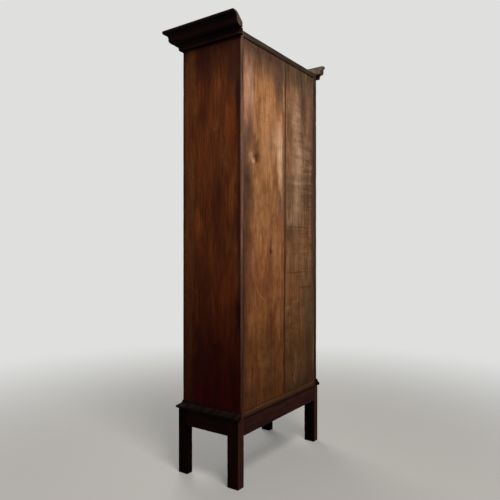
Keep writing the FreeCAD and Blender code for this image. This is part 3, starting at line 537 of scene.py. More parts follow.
# %% Front
front_tones = [(0.0, "#31140a"), (0.4, "#4a2211"), (0.7, "#5f2f17"), (1.0, "#7a4423")]
polished = {"figure": smooth_figure, "rough": (0.36, 0.52), "shine": 0.1, "streak_shade": 0.08}
front_mahogany = {}
for axis in "XZ":
    front_mahogany[axis] = timber(f"french_polished_mahogany_along_{axis.lower()}", axis, front_tones, 520,
                                  **polished)
panel_mahogany = timber("figured_mahogany_panel", "Z", front_tones, 760, rings=0.6, **polished)
print(len(bpy.data.materials), "materials so far")

# %% [markdown]
# ## Bare and raw timber
# Faces that were not meant to be seen never got polish, so they have no shine at all. The rear edges of the
# sides went grey-brown in the air; the far one gets darker tones as painted shade, and both darken under the
# cornice as a painted shadow and towards the floor, partly dirt and partly painted shade. The sawn back of
# the cornice stayed paler than its stained face. The rear of the stand took only a thin stain, and the dark
# line in the joint under the case is a painted shadow. The polished finish could be
# made duller for them, but raw wood also lies in another range of colour, so each gets its own tones.

# %% Rear edges and sawn faces
bare = {"rough": (0.72, 0.88), "shine": 0.04}
edge_tones = [(0.0, "#4b342a"), (0.5, "#64473a"), (1.0, "#80624f")]
# the far rear edge gets these darker tones: painted shade
shaded_edge_tones = [(0.0, "#2a1c15"), (0.5, "#3b2a21"), (1.0, "#4f3b30")]
# darker towards the floor, partly dirt and partly painted shade; darker under the cornice, a painted shadow
edge_foot = [("Z", 800, 280, "#b29a88"), ("Z", 1250, 1400, "#b9bdbf"), ("X", 264, 269.5, "#b09a86")]
edge_dirt = [((251, 560), (4, 420), 1.0, "#231510", 0.8)]
pale_tones = [(0.0, "#3b2f26"), (0.5, "#53453a"), (1.0, "#6f5d4e")]
inside_tones = [(0.0, "#4a3426"), (0.5, "#664b36"), (1.0, "#83654b")]
end_tones = [(0.0, "#271d16"), (0.5, "#3b3027"), (1.0, "#53463a")]

near_edge = timber("oxidised_mahogany_near_edge", "Z", edge_tones, 910, tints=edge_foot, stains=edge_dirt,
                   **bare)
far_edge = timber("oxidised_mahogany_far_edge_in_painted_shade", "Z", shaded_edge_tones, 930, tints=edge_foot, **bare)
raw_pale = {}
for axis in "XY":
    raw_pale[axis] = timber(f"sawn_mahogany_along_{axis.lower()}", axis, pale_tones, 970, **bare)
raw_inside = timber("planed_mahogany_inside", "Z", inside_tones, 990, **bare)
end_grain = timber("sawn_end_grain", "Y", end_tones, 1010, **bare)
print(len(bpy.data.materials), "materials so far")

# %% Rear of the stand and edges of the boards
leg_rear_tones = [(0.0, "#24110d"), (0.5, "#371d17"), (1.0, "#4b2b22")]
apron_rear_tones = [(0.0, "#1b0c09"), (0.5, "#2a1411"), (1.0, "#3b201b")]
strip_tones = [(0.0, "#1c1713"), (0.5, "#2d2620"), (1.0, "#463c33")]
foot_tones = [(0.0, "#352216"), (0.5, "#4b301f"), (1.0, "#63452e")]
# the lower rim of the bottom board's rear edge is darker
foot_strip_darkening = [("Z", 243, 231, "#b8a298")]
# dark line in the joint under the case: a painted shadow
joint_shadow = [((0, 229), (whole_length, 4.5), 1.0, "#100503", 0.95)]

leg_rear = timber("stained_leg_rear", "Z", leg_rear_tones, 1040, **bare)
apron_rear = timber("stained_apron_rear", "X", apron_rear_tones, 1060, stains=joint_shadow, **bare)
dusty_strip = timber("dusty_board_edge", "X", strip_tones, 1110, **bare)
foot_strip = timber("brown_board_edge", "X", foot_tones, 1140, tints=foot_strip_darkening, **bare)
print(len(bpy.data.materials), "materials so far")

# %% [markdown]
# The boards inside are planed pine, a pale softwood that has mellowed to a honey brown. Planing leaves it
# flat, so the eye gets only its wide growth rings, which run as arches along each board. A texture of even
# rings could draw them, but the arches that every timber here has wander as real ones do, so pine only gives
# them more weight.

# %% Pine
inner_tones = [(0.0, "#6b4a2e"), (0.5, "#8f6a45"), (1.0, "#ad8960")]
pine_rings = 0.8
# the ledge behind the back boards is darkened as painted shade in the recess
ledge_shade = [("Y", 137, 140, "#86705a")]
inner_pine = {}
for axis in "XYZ":
    inner_pine[axis] = timber(f"planed_pine_along_{axis.lower()}", axis, inner_tones, 1180, rings=pine_rings,
                              **bare)
floor_pine = timber("planed_pine_floor_board", "X", inner_tones, 1230, rings=pine_rings, tints=ledge_shade,
                    **bare)
print(len(bpy.data.materials), "materials so far")

# %% [markdown]
# ## Metal
# The hinges, the keyhole plate, the strike plate, their screws and pins, and the lock's cap and bolt are
# brass, cast and filed, and gone brown where no hand rubs it. The lock's case, its spring, the key, the nails
# and the screws of the cleats are iron with a dark oxide skin. Both are metals, so they keep the default IOR.
# A plain metal would look new, so tarnish changes the colour and the roughness in blotches. Real blotches are
# a few millimetres wide, too fine for the picture, so they are drawn 12 to 16 mm wide.

# %% Brass and iron
tarnish_span = (0.25, 0.75)
metal_bump = {"Strength": 0.15, "Distance": 0.2 * mm}


def old_metal(name, bright, tarnish, size_mm, rough):
    """A metal whose bright colour shows between blotches of tarnish."""
    material, tree, shader = start(name)
    own = add(tree, "TexCoord", [], "Object")
    blotch = add(tree, "TexNoise", {"Vector": own, "Scale": 1 / (size_mm * mm), "Detail": 3.0})
    cover = add(tree, "MapRange", [blotch, *tarnish_span], **smooth)
    colour = add(tree, "Mix", [cover, linear(bright), linear(tarnish)], **over)
    worn = add(tree, "MapRange", [blotch, *dull_span, *rough], **smooth)
    bumped = add(tree, "Bump", {"Height": blotch, **metal_bump})
    tree.links.new(colour, shader.inputs["Base Color"])
    tree.links.new(worn, shader.inputs["Roughness"])
    tree.links.new(bumped, shader.inputs["Normal"])
    shader.inputs["Metallic"].default_value = 1.0
    return material


aged_brass = old_metal("aged_brass", "#a9823f", "#6f5027", 16, (0.32, 0.5))
dark_iron = old_metal("oxidised_iron", "#4a4644", "#2b2422", 12, (0.45, 0.7))
print(len(bpy.data.materials), "materials so far")

# %% [markdown]
# ## Eased edges
# No edge of an old cabinet is still sharp: the maker took each arris off with a scraper, and a century of
# hands and brooms did the rest. A copy of each piece gets its outer edges rounded over, is then sliced into
# short lengths, and its edges are knocked in here and there by noise, so the light breaks on them unevenly.
# A Bevel modifier could round them too, but it could not dent them.

# %% Round the edges of a copy
weld_distance = 0.02 * mm
flat_angle = math.radians(1.0)
sharp_angle = math.radians(38)
least_easings = 6
least_share = 0.25
bevel = {"offset_type": "OFFSET", "segments": 2, "profile": 0.5, "affect": "EDGES", "clamp_overlap": False}


def rounded(node, ease):
    """A bmesh copy of a piece with round edges; the shortest stay sharp, as they would fold over.
    Faces of a rounded edge carry 1 in the layer arris."""
    bm = bmesh.new()
    bm.from_mesh(nodes[node].data)
    bmesh.ops.remove_doubles(bm, verts=bm.verts, dist=weld_distance)
    bmesh.ops.dissolve_limit(bm, angle_limit=flat_angle, verts=bm.verts, edges=bm.edges)
    arris = bm.faces.layers.int.new("arris")
    longest = max(edge.calc_length() for edge in bm.edges)
    least = min(least_easings * ease, least_share * longest)
    corners = [edge for edge in bm.edges
               if len(edge.link_faces) == 2 and edge.is_convex
               and edge.calc_face_angle() > sharp_angle and edge.calc_length() > least]
    made = bmesh.ops.bevel(bm, geom=corners, offset=ease, **bevel)
    for face in made["faces"]:
        face[arris] = 1
    return bm


print("edges over", round(math.degrees(sharp_angle)), "degrees are rounded")

# %% Slice it and knock it in
dents_per_metre = 38.0
nicks_per_metre = 130.0
dent_least, nick_least = 0.05, 0.2
nick_share = 0.6


def slice_up(bm, step):
    """Cuts a mesh by even planes, so that it has points between its corners."""
    for axis in range(3):
        low = min(vert.co[axis] for vert in bm.verts)
        high = max(vert.co[axis] for vert in bm.verts)
        count = int((high - low) / step)
        across = Vector([float(axis == other) for other in range(3)])
        for index in range(1, count):
            cut = low + (high - low) * index / count
            bmesh.ops.bisect_plane(bm, geom=bm.verts[:] + bm.edges[:] + bm.faces[:], dist=1e-6,
                                   plane_co=across * cut, plane_no=across)


def knock_in(bm, box, dent):
    """Pushes the edges in by noise: long dents and small nicks, never past the piece's box."""
    arris = bm.faces.layers.int["arris"]
    rim = {vert for face in bm.faces if face[arris] for vert in face.verts}
    bm.normal_update()
    for vert in rim:
        long_dent = max(0.0, noise.noise(vert.co * dents_per_metre) - dent_least)
        small_nick = max(0.0, noise.noise(vert.co * nicks_per_metre) - nick_least)
        worn = vert.co - vert.normal * (long_dent + nick_share * small_nick) * dent
        vert.co = [min(max(value, low), high) for value, low, high in zip(worn, *box)]
    bm.normal_update()


print("a dent every", round(1000 / dents_per_metre), "mm, a nick every", round(1000 / nicks_per_metre), "mm")

# %% Put the copy in the place of the piece
crease_angle = math.radians(40)


def set_up(mesh, node):
    """Puts a new mesh into the scene in the place of a piece."""
    mesh.set_sharp_from_angle(angle=crease_angle)
    piece = bpy.data.objects.new("worn_" + node, mesh)
    bpy.context.scene.collection.objects.link(piece)
    even = piece.modifiers.new("even_light", "WEIGHTED_NORMAL")
    even.keep_sharp = True
    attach(piece, body_of(nodes[node])[0])
    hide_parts(node)
    return piece


def dress(node, finish, wear, others=()):
    """A worn copy that stands for a piece. wear is its easing, its slices and its dents in mm.
    others is (test of a face, finish), and the first that fits wins."""
    ease_mm, step_mm, dent_mm = wear
    bm = rounded(node, ease_mm * mm)
    if step_mm:
        slice_up(bm, step_mm * mm)
    knock_in(bm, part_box(node), dent_mm * mm)
    for face in bm.faces:
        face.smooth = True
        fits = [index for index, (test, other) in enumerate(others, 1) if test(face)]
        face.material_index = fits[0] if fits else 0
    mesh = bpy.data.meshes.new("worn_" + node)
    bm.to_mesh(mesh)
    bm.free()
    for one in [finish] + [other for test, other in others]:
        mesh.materials.append(one)
    return set_up(mesh, node)


print("edge tools ready")

# %% [markdown]
# ## The stand
# Four straight legs with aprons tenoned between them carry the case. The outer faces are stained nearly
# black; the faces that look to the wall only have a thin stain, so they show paler. The front legs and the
# faces of the back legs that look in under the stand get still darker tones, which are painted shade. Those
# faces could be painted on with a mask. Here a face is told from its neighbours by the way it looks, which
# needs no paint.

# %% Legs and aprons
leg_wear = (1.2, 14, 1.6)
apron_wear = (1.0, 16, 1.0)


def looks(axis, sign, least=0.7):
    """A test for faces that look along an axis."""
    return lambda face: face.normal["XYZ".index(axis)] * sign > least


# front legs, and the inner faces of the back legs, take the darkest tones as painted shade
for hand, sign in (("left", -1), ("right", 1)):
    dress(f"leg_front_{hand}", painted_shade_mahogany, leg_wear)
    dress(f"leg_back_{hand}", dark_mahogany["Z"], leg_wear,
          [(looks("Y", 1), leg_rear), (looks("X", -sign), painted_shade_mahogany)])
dress("apron_front", dark_mahogany["X"], apron_wear)
dress("apron_back", dark_mahogany["X"], apron_wear, [(looks("Y", 1), apron_rear)])
for hand in ("left", "right"):
    dress(f"apron_{hand}", dark_mahogany["Y"], apron_wear)
print("stand dressed")

# %% [markdown]
# ## Mouldings
# The waist moulding, the bed moulding and the sprung crown were run with moulding planes and mitred at the
# front corners. Their shaped faces are stained dark like the stand. The sawn backs and the end grain at the
# rear were left raw, and show paler where the crown's ends stand past the back. The top rear tip of each end
# got blunt in many moves. A bevel wide enough for that would spoil the profile, so the points near the tip
# are drawn onto a circle instead.

# %% Waist, bed and crown
waist_wear = (0.7, 12, 1.0)
bed_wear = (0.6, 14, 0.8)
crown_wear = (1.4, 6, 2.0)
tip_round = 12 * mm
inward_least, upward_least = 0.3, -0.2
run = {"front": "X", "left": "Y", "right": "Y"}


def turned_in(hand):
    """A test for faces of a crown length that look up and back to the cabinet."""
    axis, sign = {"front": (1, 1), "left": (0, 1), "right": (0, -1)}[hand]
    return lambda face: face.normal[axis] * sign > inward_least and face.normal.z > upward_least


def blunt_tip(mesh, corner):
    """Rounds the top rear corner of a crown length."""
    centre = Vector((corner[1] - tip_round, corner[2] - tip_round))
    for vert in mesh.vertices:
        away = vert.co.yz - centre
        if min(away) > 0 and away.length > tip_round:
            vert.co.yz = centre + away * (tip_round / away.length)


for hand, axis in run.items():
    dress(f"waist_moulding_{hand}", waist_mahogany[axis], waist_wear)
    dress(f"bed_moulding_{hand}", crown_mahogany[axis], bed_wear)
    ends = [] if hand == "front" else [(looks("Y", 1), end_grain)]
    backs = [(turned_in(hand), raw_pale[axis])] + ends
    crown = dress(f"crown_moulding_{hand}", crown_mahogany[axis], crown_wear, backs)
    if ends:
        blunt_tip(crown.data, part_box(f"crown_moulding_{hand}")[1])
print("mouldings dressed")

# %% [markdown]
# ## The case
# Two wide boards make the sides, with their grain upright. Their outer faces are polished, the rear edges
# went grey-brown, and the inner faces are bare. The top and bottom boards show only their rear edges. Each
# finish could be a piece of its own, but a board is one piece, so its faces choose among several finishes.

# %% Sides, top, bottom
side_wear = (1.1, 20, 1.3)
board_wear = (0.8, 24, 0.8)
any_rear = looks("Y", 1, least=0.25)
for hand, sign, edge in (("left", -1, far_edge), ("right", 1, near_edge)):
    dress(f"side_{hand}", side_mahogany, side_wear,
          [(looks("Y", 1), edge), (looks("X", -sign), raw_inside), (looks("Z", 1), dusty_strip)])
dress("top_board", inner_pine["X"], board_wear,
      [(any_rear, dusty_strip), (looks("Z", 1), dusty_strip)])
dress("bottom_board", floor_pine, board_wear, [(any_rear, foot_strip)])
print("case dressed")

# %% [markdown]
# ## Back boards
# Two wide boards close the back, half lapped where they meet. Nobody planed them for show: the far one
# still has the cross marks of the saw, both have cupped a little, their joint runs out of plumb, and a split
# runs up from the foot of the far one. A bump map could shade these marks but not shape them, so they stand
# in relief: each board is a stack of outlines, fine enough to hold them. Every outline is a closed ring
# round the board, and its rear points are pushed in and out by the shape of the marks.

# %% Place of the boards and their joint
joint_gap = 2.4 * mm
joint_lean = math.radians(0.36)
far_low, far_high = (Vector(corner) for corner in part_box("back_board_left"))
near_low, near_high = (Vector(corner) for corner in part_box("back_board_right"))
joint_x = far_high.x
board_middle = (near_low.z + near_high.z) / 2


def leaning(x, z):
    """A place on the joint, which leans to the far side towards the floor."""
    return x + math.tan(joint_lean) * (z - board_middle)


joint_runs = leaning(joint_x, near_high.z) - leaning(joint_x, near_low.z)
print("the joint runs", round(joint_runs / mm, 1), "mm out of plumb")

# %% Relief of the near board
cup_depth = 0.5 * mm
near_middle, near_half = 122 * mm, 128 * mm
near_waves = 0.35 * mm
knot_x, knot_z = 186 * mm, 1105 * mm
knot_rise, knot_reach, knot_squeeze = 0.6 * mm, 16 * mm, 0.6
pocket_x, pocket_z = 76 * mm, 790 * mm
pocket_depth, pocket_reach, pocket_squeeze = 1.6 * mm, 4.5 * mm, 0.35


def bell(distance, reach):
    """1 at no distance, falling softly to nothing past the reach."""
    return math.exp(-(distance / reach) ** 2)


def uneven(x, z, per_x, per_z, seed):
    """Noise on a board, with so many waves to the metre across it and up it."""
    return noise.noise(Vector((x * per_x, seed, z * per_z)))


def near_relief(x, z):
    """Depth of the near board's marks: a shallow cup, slow waves, a knot, a resin pocket."""
    cup = cup_depth * ((x - near_middle) / near_half) ** 2
    waves = near_waves * uneven(x, z, per_x=16, per_z=5, seed=0)
    knot = knot_rise * bell(math.hypot(x - knot_x, (z - knot_z) * knot_squeeze), knot_reach)
    from_pocket = math.hypot(x - pocket_x, (z - pocket_z) * pocket_squeeze)
    pocket = -pocket_depth * bell(from_pocket, pocket_reach)
    return cup + waves + knot + pocket - cup_depth


print("knot at", round(knot_z / mm), "mm, resin pocket at", round(pocket_z / mm), "mm")

# %% Relief of the far board
far_middle, far_half = -132 * mm, 126 * mm
far_waves = 0.3 * mm
sawn_x, sawn_z = -205 * mm, 1010 * mm
sawn_reach_x, sawn_reach_z = 62 * mm, 260 * mm
saw_pitch, saw_depth = 11 * mm, 0.35 * mm
saw_slant, saw_drift = 0.05, 5
saw_middle = 0.5
split_x = -187 * mm
split_top = 400 * mm
split_half, split_depth = 0.3 * mm, 4.0 * mm


def far_relief(x, z):
    """Depth of the far board's marks: a cup the other way, slow waves, saw marks, a split."""
    cup = -cup_depth * ((x - far_middle) / far_half) ** 2
    waves = far_waves * uneven(x, z, per_x=18, per_z=5, seed=3)
    sawn_share = bell(x - sawn_x, sawn_reach_x) * bell(z - sawn_z, sawn_reach_z)
    drift = saw_drift * uneven(x, z, per_x=6, per_z=14, seed=7)
    stroke = math.tau * (z + saw_slant * x) / saw_pitch + drift
    ripple = (saw_middle + uneven(x, z, per_x=11, per_z=23, seed=5)) * math.sin(stroke)
    open_share = max(0.0, 1 - max(0.0, z - far_low.z) / (split_top - far_low.z))
    split = -split_depth * open_share * (abs(x - split_x) < split_half)
    return cup + waves + saw_depth * sawn_share * ripple + split


print("split up to", round(split_top / mm), "mm")

# %% Outline of a board
board_round = 1.3 * mm
corner_share = 0.3
rear_points, front_points = 32, 5


def edge_points(rear_x, front_x, inward, low, high, tuck, z):
    """One edge of a board's outline from its rear face to its front; a lap steps at half the thickness."""
    half = (low + high) / 2
    corner = (rear_x + corner_share * inward * board_round, high - corner_share * board_round)
    rear = [corner, (rear_x, high - board_round)]
    step = [(rear_x, half), (front_x, half)] if rear_x != front_x else []
    front = [(front_x, low + board_round)]
    return [Vector((x + inward * tuck, y, z)) for x, y in rear + step + front]


def board_ring(relief, left, right, low, high, tuck, z, marks):
    """One closed outline of a board; left and right are the x of that edge at the rear and at the front."""
    begin = left[0] + board_round + tuck
    width = right[0] - board_round - tuck - begin
    columns = sorted([begin + width * i / rear_points for i in range(rear_points + 1)] + marks)
    rear = [Vector((x, high - tuck + relief(x, z), z)) for x in columns]
    front_begin = right[1] - board_round - tuck
    front_width = left[1] + board_round + tuck - front_begin
    front = [Vector((front_begin + front_width * i / front_points, low + tuck, z))
             for i in range(front_points + 1)]
    right_edge = edge_points(*right, -1, low, high, tuck, z)
    left_edge = edge_points(*left, 1, low, high, tuck, z)
    return rear + right_edge + front + left_edge[::-1]


print(rear_points + 1, "points across the rear of an outline")

# %% A stack of outlines
board_step = 2.1 * mm


def board_rows(low, high):
    """Heights of a board's outlines with how far each is tucked in: the first and last are rounded over."""
    steps = int((high - low) / board_step)
    inner = [low + board_round + (high - low - 2 * board_round) * i / steps for i in range(steps + 1)]
    return [(low, board_round)] + [(z, 0.0) for z in inner] + [(high, board_round)]


def stack(name, rings):
    """A closed mesh through rings of points, with a cap at each end."""
    bm = bmesh.new()
    laid = [[bm.verts.new(point) for point in ring] for ring in rings]
    count = len(laid[0])
    for lower, upper in zip(laid, laid[1:]):
        for i in range(count):
            j = (i + 1) % count
            bm.faces.new((lower[i], lower[j], upper[j], upper[i]))
    bm.faces.new(laid[0][::-1])
    bm.faces.new(laid[-1])
    bmesh.ops.recalc_face_normals(bm, faces=bm.faces)
    for face in bm.faces:
        face.smooth = True
    mesh = bpy.data.meshes.new(name)
    bm.to_mesh(mesh)
    bm.free()
    return mesh


print(len(board_rows(near_low.z, near_high.z)), "outlines up a board")

# %% The two boards
lap_room = 1.0 * mm
near_marks = [pocket_x + shift * mm for shift in (-2, 0, 2)]
far_marks = [split_x + shift * mm for shift in (-0.7, 0.0, 0.7)]
near_rings, far_rings = [], []
for z, tuck in board_rows(near_low.z, near_high.z):
    lapped = (leaning(joint_x + joint_gap, z), leaning(near_low.x, z))
    near_rings.append(board_ring(near_relief, lapped, (near_high.x, near_high.x),
                                 near_low.y, near_high.y, tuck, z, near_marks))
for z, tuck in board_rows(far_low.z, far_high.z):
    lapped = (leaning(joint_x, z), leaning(near_low.x - lap_room, z))
    far_rings.append(board_ring(far_relief, (far_low.x, far_low.x), lapped,
                                far_low.y, far_high.y, tuck, z, far_marks))
near_board = stack("worn_back_board_right", near_rings)
far_board = stack("worn_back_board_left", far_rings)
print("back boards:", len(near_board.polygons) + len(far_board.polygons), "faces")

# %% [markdown]
# ## Timber of the back boards
# The boards are raw, oxidised and dusty, so they look dry and have no shine. The near board is an orange tan
# with a pale knot and its dark arcs, a dark resin pocket, a grey stain along its outer edge and a pale
# scratch. The far board is greyer, with dark streaks and dirt caught in the saw marks. Both are darkest under
# the top, and brown and darker towards the floor, partly dirt and partly painted shade. Noise alone would
# give a board of this kind, but not this one, so its larger marks are listed one by one, from the head to the
# foot.

# %% Near board: head and knot
near_tones = [(0.0, "#6d4729"), (0.4, "#895b36"), (0.7, "#9b6c45"), (1.0, "#b0835d")]
near_rosy = [(0.0, "#69432a"), (0.4, "#865836"), (0.7, "#9a6a45"), (1.0, "#b1835f")]
# darkest under the top; darker towards the floor, partly dirt and partly painted shade
near_tints = [("Z", 1010, 760, "#fbeae2"), ("Z", 880, 270, "#bcb1a4"), ("Z", 1330, 1490, "#777d96")]
near_head = [
    # pale and dark clouds under the top
    ((216, 1330), (36, 100), 1.6, "#9c7560", 0.7),
    ((84, 1320), (36, 90), 1.6, "#a9764a", 0.7),
    ((90, 1205), (44, 70), 1.6, "#ab7a53", 0.7),
    ((14, 1400), (30, 85), 1.6, "#483226", 1.0),
    ((62, 1440), (40, 40), 1.6, "#5a4032", 0.7),
    ((96, 1110), (28, 70), 1.6, "#a3744e", 0.6),
    # pale streak along the joint
    ((12, 1138), (16, 88), 1.6, "#c9a282", 0.95),
    ((34, 1190), (24, 54), 1.6, "#b98e6b", 0.7),
    # grey stain above the knot
    ((206, 1205), (17, 66), 1.6, "#563b2f", 1.0),
    ((236, 1160), (20, 64), 1.6, "#533a2f", 1.0),
    ((186, 1160), (16, 34), 1.5, "#674735", 0.9),
    ((168, 1132), (14, 26), 1.5, "#4c2f1e", 1.0),
    ((140, 1085), (18, 36), 1.6, "#8f6141", 0.7),
]
near_edge_stains = [
    ((232, 1015), (40, 95), 1.6, "#3f2b21", 1.0),
    ((236, 850), (34, 170), 1.6, "#4b3122", 1.0),
    ((244, 560), (18, 240), 1.6, "#42281a", 0.9),
    ((214, 720), (18, 130), 1.6, "#6d452e", 0.7),
]
near_knot = [
    # its pale heart and its dark arcs
    ((204, 1104), (13, 11), 1.6, "#a98469", 0.6),
    ((188, 1096), (10, 7), 1.6, "#b9957a", 0.5),
    ((171, 1104), (4.6, 15), 1.2, "#301a0c", 0.9),
    ((179, 1113), (8, 3.6), 1.2, "#4a2e1c", 0.7),
]
print(len(near_head + near_edge_stains + near_knot), "marks in the upper half")

# %% Near board: streaks, pocket and foot
near_streaks = [
    ((180, 1400), (2.4, 95), 1.2, "#553a2c", 0.7),
    ((148, 1465), (2.2, 36), 1.2, "#3d281e", 0.7),
    ((206, 1372), (2.0, 60), 1.2, "#6c4c3c", 0.5),
    ((120, 1290), (2.6, 60), 1.2, "#6f4c36", 0.4),
]
near_pocket = [
    # clouds round the resin pocket, then the pocket and its tail
    ((14, 964), (14, 40), 1.6, "#6a4f46", 0.9),
    ((122, 960), (40, 110), 1.6, "#96653a", 0.6),
    ((40, 790), (30, 110), 1.6, "#a8754a", 0.7),
    ((80, 706), (24, 72), 1.6, "#6c4125", 0.7),
    ((76, 786), (8.0, 10), 1.2, "#341b0d", 0.9),
    ((73, 812), (2.6, 28), 1.2, "#3f2413", 0.8),
]
near_foot = [
    # clouds, then worm holes and the shadow at the outer edge
    ((150, 560), (60, 60), 1.6, "#8a5b31", 0.6),
    ((84, 492), (34, 44), 1.6, "#5c341b", 0.7),
    ((214, 468), (22, 46), 1.6, "#5a3620", 0.6),
    ((120, 400), (50, 40), 1.6, "#7c5130", 0.6),
    ((66, 350), (40, 50), 1.6, "#553722", 0.6),
    ((210, 290), (44, 46), 1.6, "#442917", 0.7),
    ((76, 284), (70, 34), 1.6, "#452912", 0.6),
    ((190, 290), (3.4, 4), 0.8, "#2a180e", 0.8),
    ((150, 262), (4, 4), 0.8, "#2a180e", 0.7),
    ((171, 264), (3.4, 3), 0.8, "#2d1a10", 0.7),
    ((249, 640), (3.2, 400), 1.2, "#23140d", 0.85),
]
near_stains = near_head + near_edge_stains + near_knot + near_streaks + near_pocket + near_foot
print(len(near_stains), "marks on the near board")

# %% Near board: finish
rough_sawn = {"figure": cloudy_figure, "spread": 0.18, "streak_shade": 0.16, "relief_mm": 0.4, **bare}
joint_foot = math.tan(joint_lean) * board_middle / mm
near_seam = ((joint_x + joint_gap) / mm - joint_foot, joint_lean)
near_saw = [((110, 1330), (120, 130), 5, 34, "#6b4a34", 0.3), ((120, 430), (120, 120), 7, 46, "#59371f", 0.4)]
near_scratch = ((76, 706), 101.6, 1.3, ((146, 640), (34, 58)), "#b0835a", 0.6)
near_knots = [((178, 1106), (40, 110), 24), ((76, 790), (26, 80), 12)]
near_finish = timber("oxidised_near_back_board", "Z", near_tones, 40, near_rosy, near_tints, near_stains,
                     near_knots, seam=near_seam, saw=near_saw, scratch=near_scratch, mottle=0.3, **rough_sawn)
near_board.materials.append(near_finish)
set_up(near_board, "back_board_right")
print(near_finish.name)

# %% Far board: clouds
far_tones = [(0.0, "#5b3d28"), (0.4, "#775238"), (0.7, "#8b6446"), (1.0, "#a37b5a")]
far_grey = [(0.0, "#5a412b"), (0.4, "#75563c"), (0.7, "#8a694c"), (1.0, "#a48262")]
# darkest under the top; darker towards the floor, partly dirt and partly painted shade
far_tints = [("Z", 1000, 760, "#fff3e4"), ("Z", 880, 270, "#bcb6ac"), ("Z", 1340, 1490, "#a4b0bb")]
far_clouds = [
    # pale band up the middle and a brown one along the joint
    ((-114, 1280), (30, 90), 1.6, "#b38a6b", 0.9),
    ((-122, 1110), (28, 110), 1.6, "#bb9474", 0.95),
    ((-116, 960), (34, 60), 1.6, "#a37d5f", 0.75),
    ((-32, 1090), (20, 230), 1.6, "#72503a", 0.7),
    ((-70, 1350), (24, 60), 1.6, "#8f6347", 0.6),
    ((-62, 1010), (26, 40), 1.6, "#6e4c3a", 0.7),
    # dark head and grey outer edge
    ((-168, 1372), (24, 76), 1.6, "#4e372c", 1.0),
    ((-228, 1330), (22, 120), 1.6, "#6b5141", 0.7),
    ((-246, 1000), (16, 420), 1.6, "#4c372b", 1.0),
    ((-196, 1190), (28, 60), 1.6, "#8b6b54", 0.8),
    ((-200, 1040), (26, 60), 1.6, "#604a39", 0.6),
    ((-140, 790), (60, 60), 1.6, "#8a6142", 0.7),
    ((-60, 850), (40, 36), 1.6, "#593b28", 0.9),
    ((-66, 640), (58, 62), 1.6, "#855835", 0.7),
]
print(len(far_clouds), "clouds on the far board")

# %% Far board: strokes and foot
far_strokes = [
    # single deep strokes of the saw, pale tears and a short check
    ((-150, 880), (96, 3.0), 1.6, "#3d2a1d", 0.45),
    ((-132, 703), (98, 3.0), 1.6, "#38271c", 0.45),
    ((-194, 642), (44, 2.8), 1.6, "#38271c", 0.45),
    ((-52, 572), (26, 4.2), 1.6, "#96683c", 0.4),
    ((-104, 590), (30, 4.2), 1.6, "#96683c", 0.35),
    ((-50, 548), (2.8, 17), 1.0, "#37210f", 0.75),
]
far_foot = [
    # clouds, then a small knot
    ((-90, 490), (36, 44), 1.6, "#744827", 0.7),
    ((-100, 420), (30, 26), 1.6, "#55371f", 0.6),
    ((-216, 520), (40, 120), 1.6, "#57442d", 0.9),
    ((-206, 400), (26, 50), 1.6, "#453420", 0.7),
    ((-215, 290), (40, 50), 1.6, "#433020", 0.8),
    ((-130, 258), (140, 30), 1.6, "#332113", 0.75),
    ((-70, 330), (50, 50), 1.6, "#5c4029", 0.6),
    ((-150, 290), (36, 30), 1.6, "#523b27", 0.5),
    ((-80, 308), (4.0, 5.0), 1.0, "#1f130b", 0.9),
    ((-105, 299), (3.2, 4.0), 1.0, "#2a1b11", 0.8),
]
far_stains = far_clouds + far_strokes + far_foot
print(len(far_stains), "marks on the far board")

# %% Far board: finish
far_seam = (joint_x / mm - joint_foot, joint_lean)
far_saw = [
    ((-150, 1080), (120, 220), 15, 200, "#523c2d", 0.4),
    ((-206, 1070), (56, 180), 8, 70, "#3c2c20", 0.55),
    ((-150, 1330), (110, 120), 6, 50, "#4f3a2c", 0.4),
    ((-180, 760), (80, 120), 10, 130, "#473322", 0.55),
    ((-90, 500), (70, 90), 8, 60, "#4f331d", 0.6),
]
far_knots = [((-88, 304), (30, 60), 12)]
far_finish = timber("oxidised_far_back_board", "Z", far_tones, 610, far_grey, far_tints, far_stains,
                    far_knots, seam=far_seam, saw=far_saw, mottle=0.25, **rough_sawn)
far_board.materials.append(far_finish)
set_up(far_board, "back_board_left")
print(far_finish.name)

# %% [markdown]
# ## Face frame and door
# The front is a face frame of stiles and rails round one framed door with two fielded panels. All of it is
# polished mahogany. The grain follows each stick: upright in the stiles, level in the rails, and the panels
# are cut to show arched figure. The frame could be one mesh, but then the grain would run on across its
# joints, so each stick is dressed by itself. The panels and their small mouldings sit too deep to be knocked.

# %% Frame, door and panels
stile_wear = (0.7, 24, 0.9)
rail_wear = (0.7, 24, 0.6)
door_stile_wear = (0.6, 24, 0.8)
door_rail_wear = (0.5, 24, 0.5)
panel_wear = (0.5, None, 0.0)
bead_wear = (0.3, None, 0.0)
dusty_top = (looks("Z", 1), dusty_strip)
for hand, sign in (("left", -1), ("right", 1)):
    dress(f"frame_stile_{hand}", front_mahogany["Z"], stile_wear,
          [(looks("X", sign, least=0.4), side_mahogany), dusty_top])
dress("frame_rail_bottom", front_mahogany["X"], rail_wear)
dress("frame_rail_top", front_mahogany["X"], rail_wear, [dusty_top])
for part in ("hinge", "lock"):
    dress(f"door_{part}_stile", front_mahogany["Z"], door_stile_wear)
for place in ("bottom", "middle", "top"):
    dress(f"door_rail_{place}", front_mahogany["X"], door_rail_wear)
for place in ("lower", "upper"):
    dress(f"door_panel_{place}", panel_mahogany, panel_wear)
dress("panel_beads", front_mahogany["X"], bead_wear)
print("front dressed")

# %% [markdown]
# ## Inside
# Shelves, cleats, battens and glue blocks are plain planed softwood. They could stay as they are built, but a
# shelf with razor edges looks like card, so they are eased. Few hands reach them, so they get no dents. The
# wooden pegs of the frame and the door are cut from the same mahogany as the sticks that they hold.

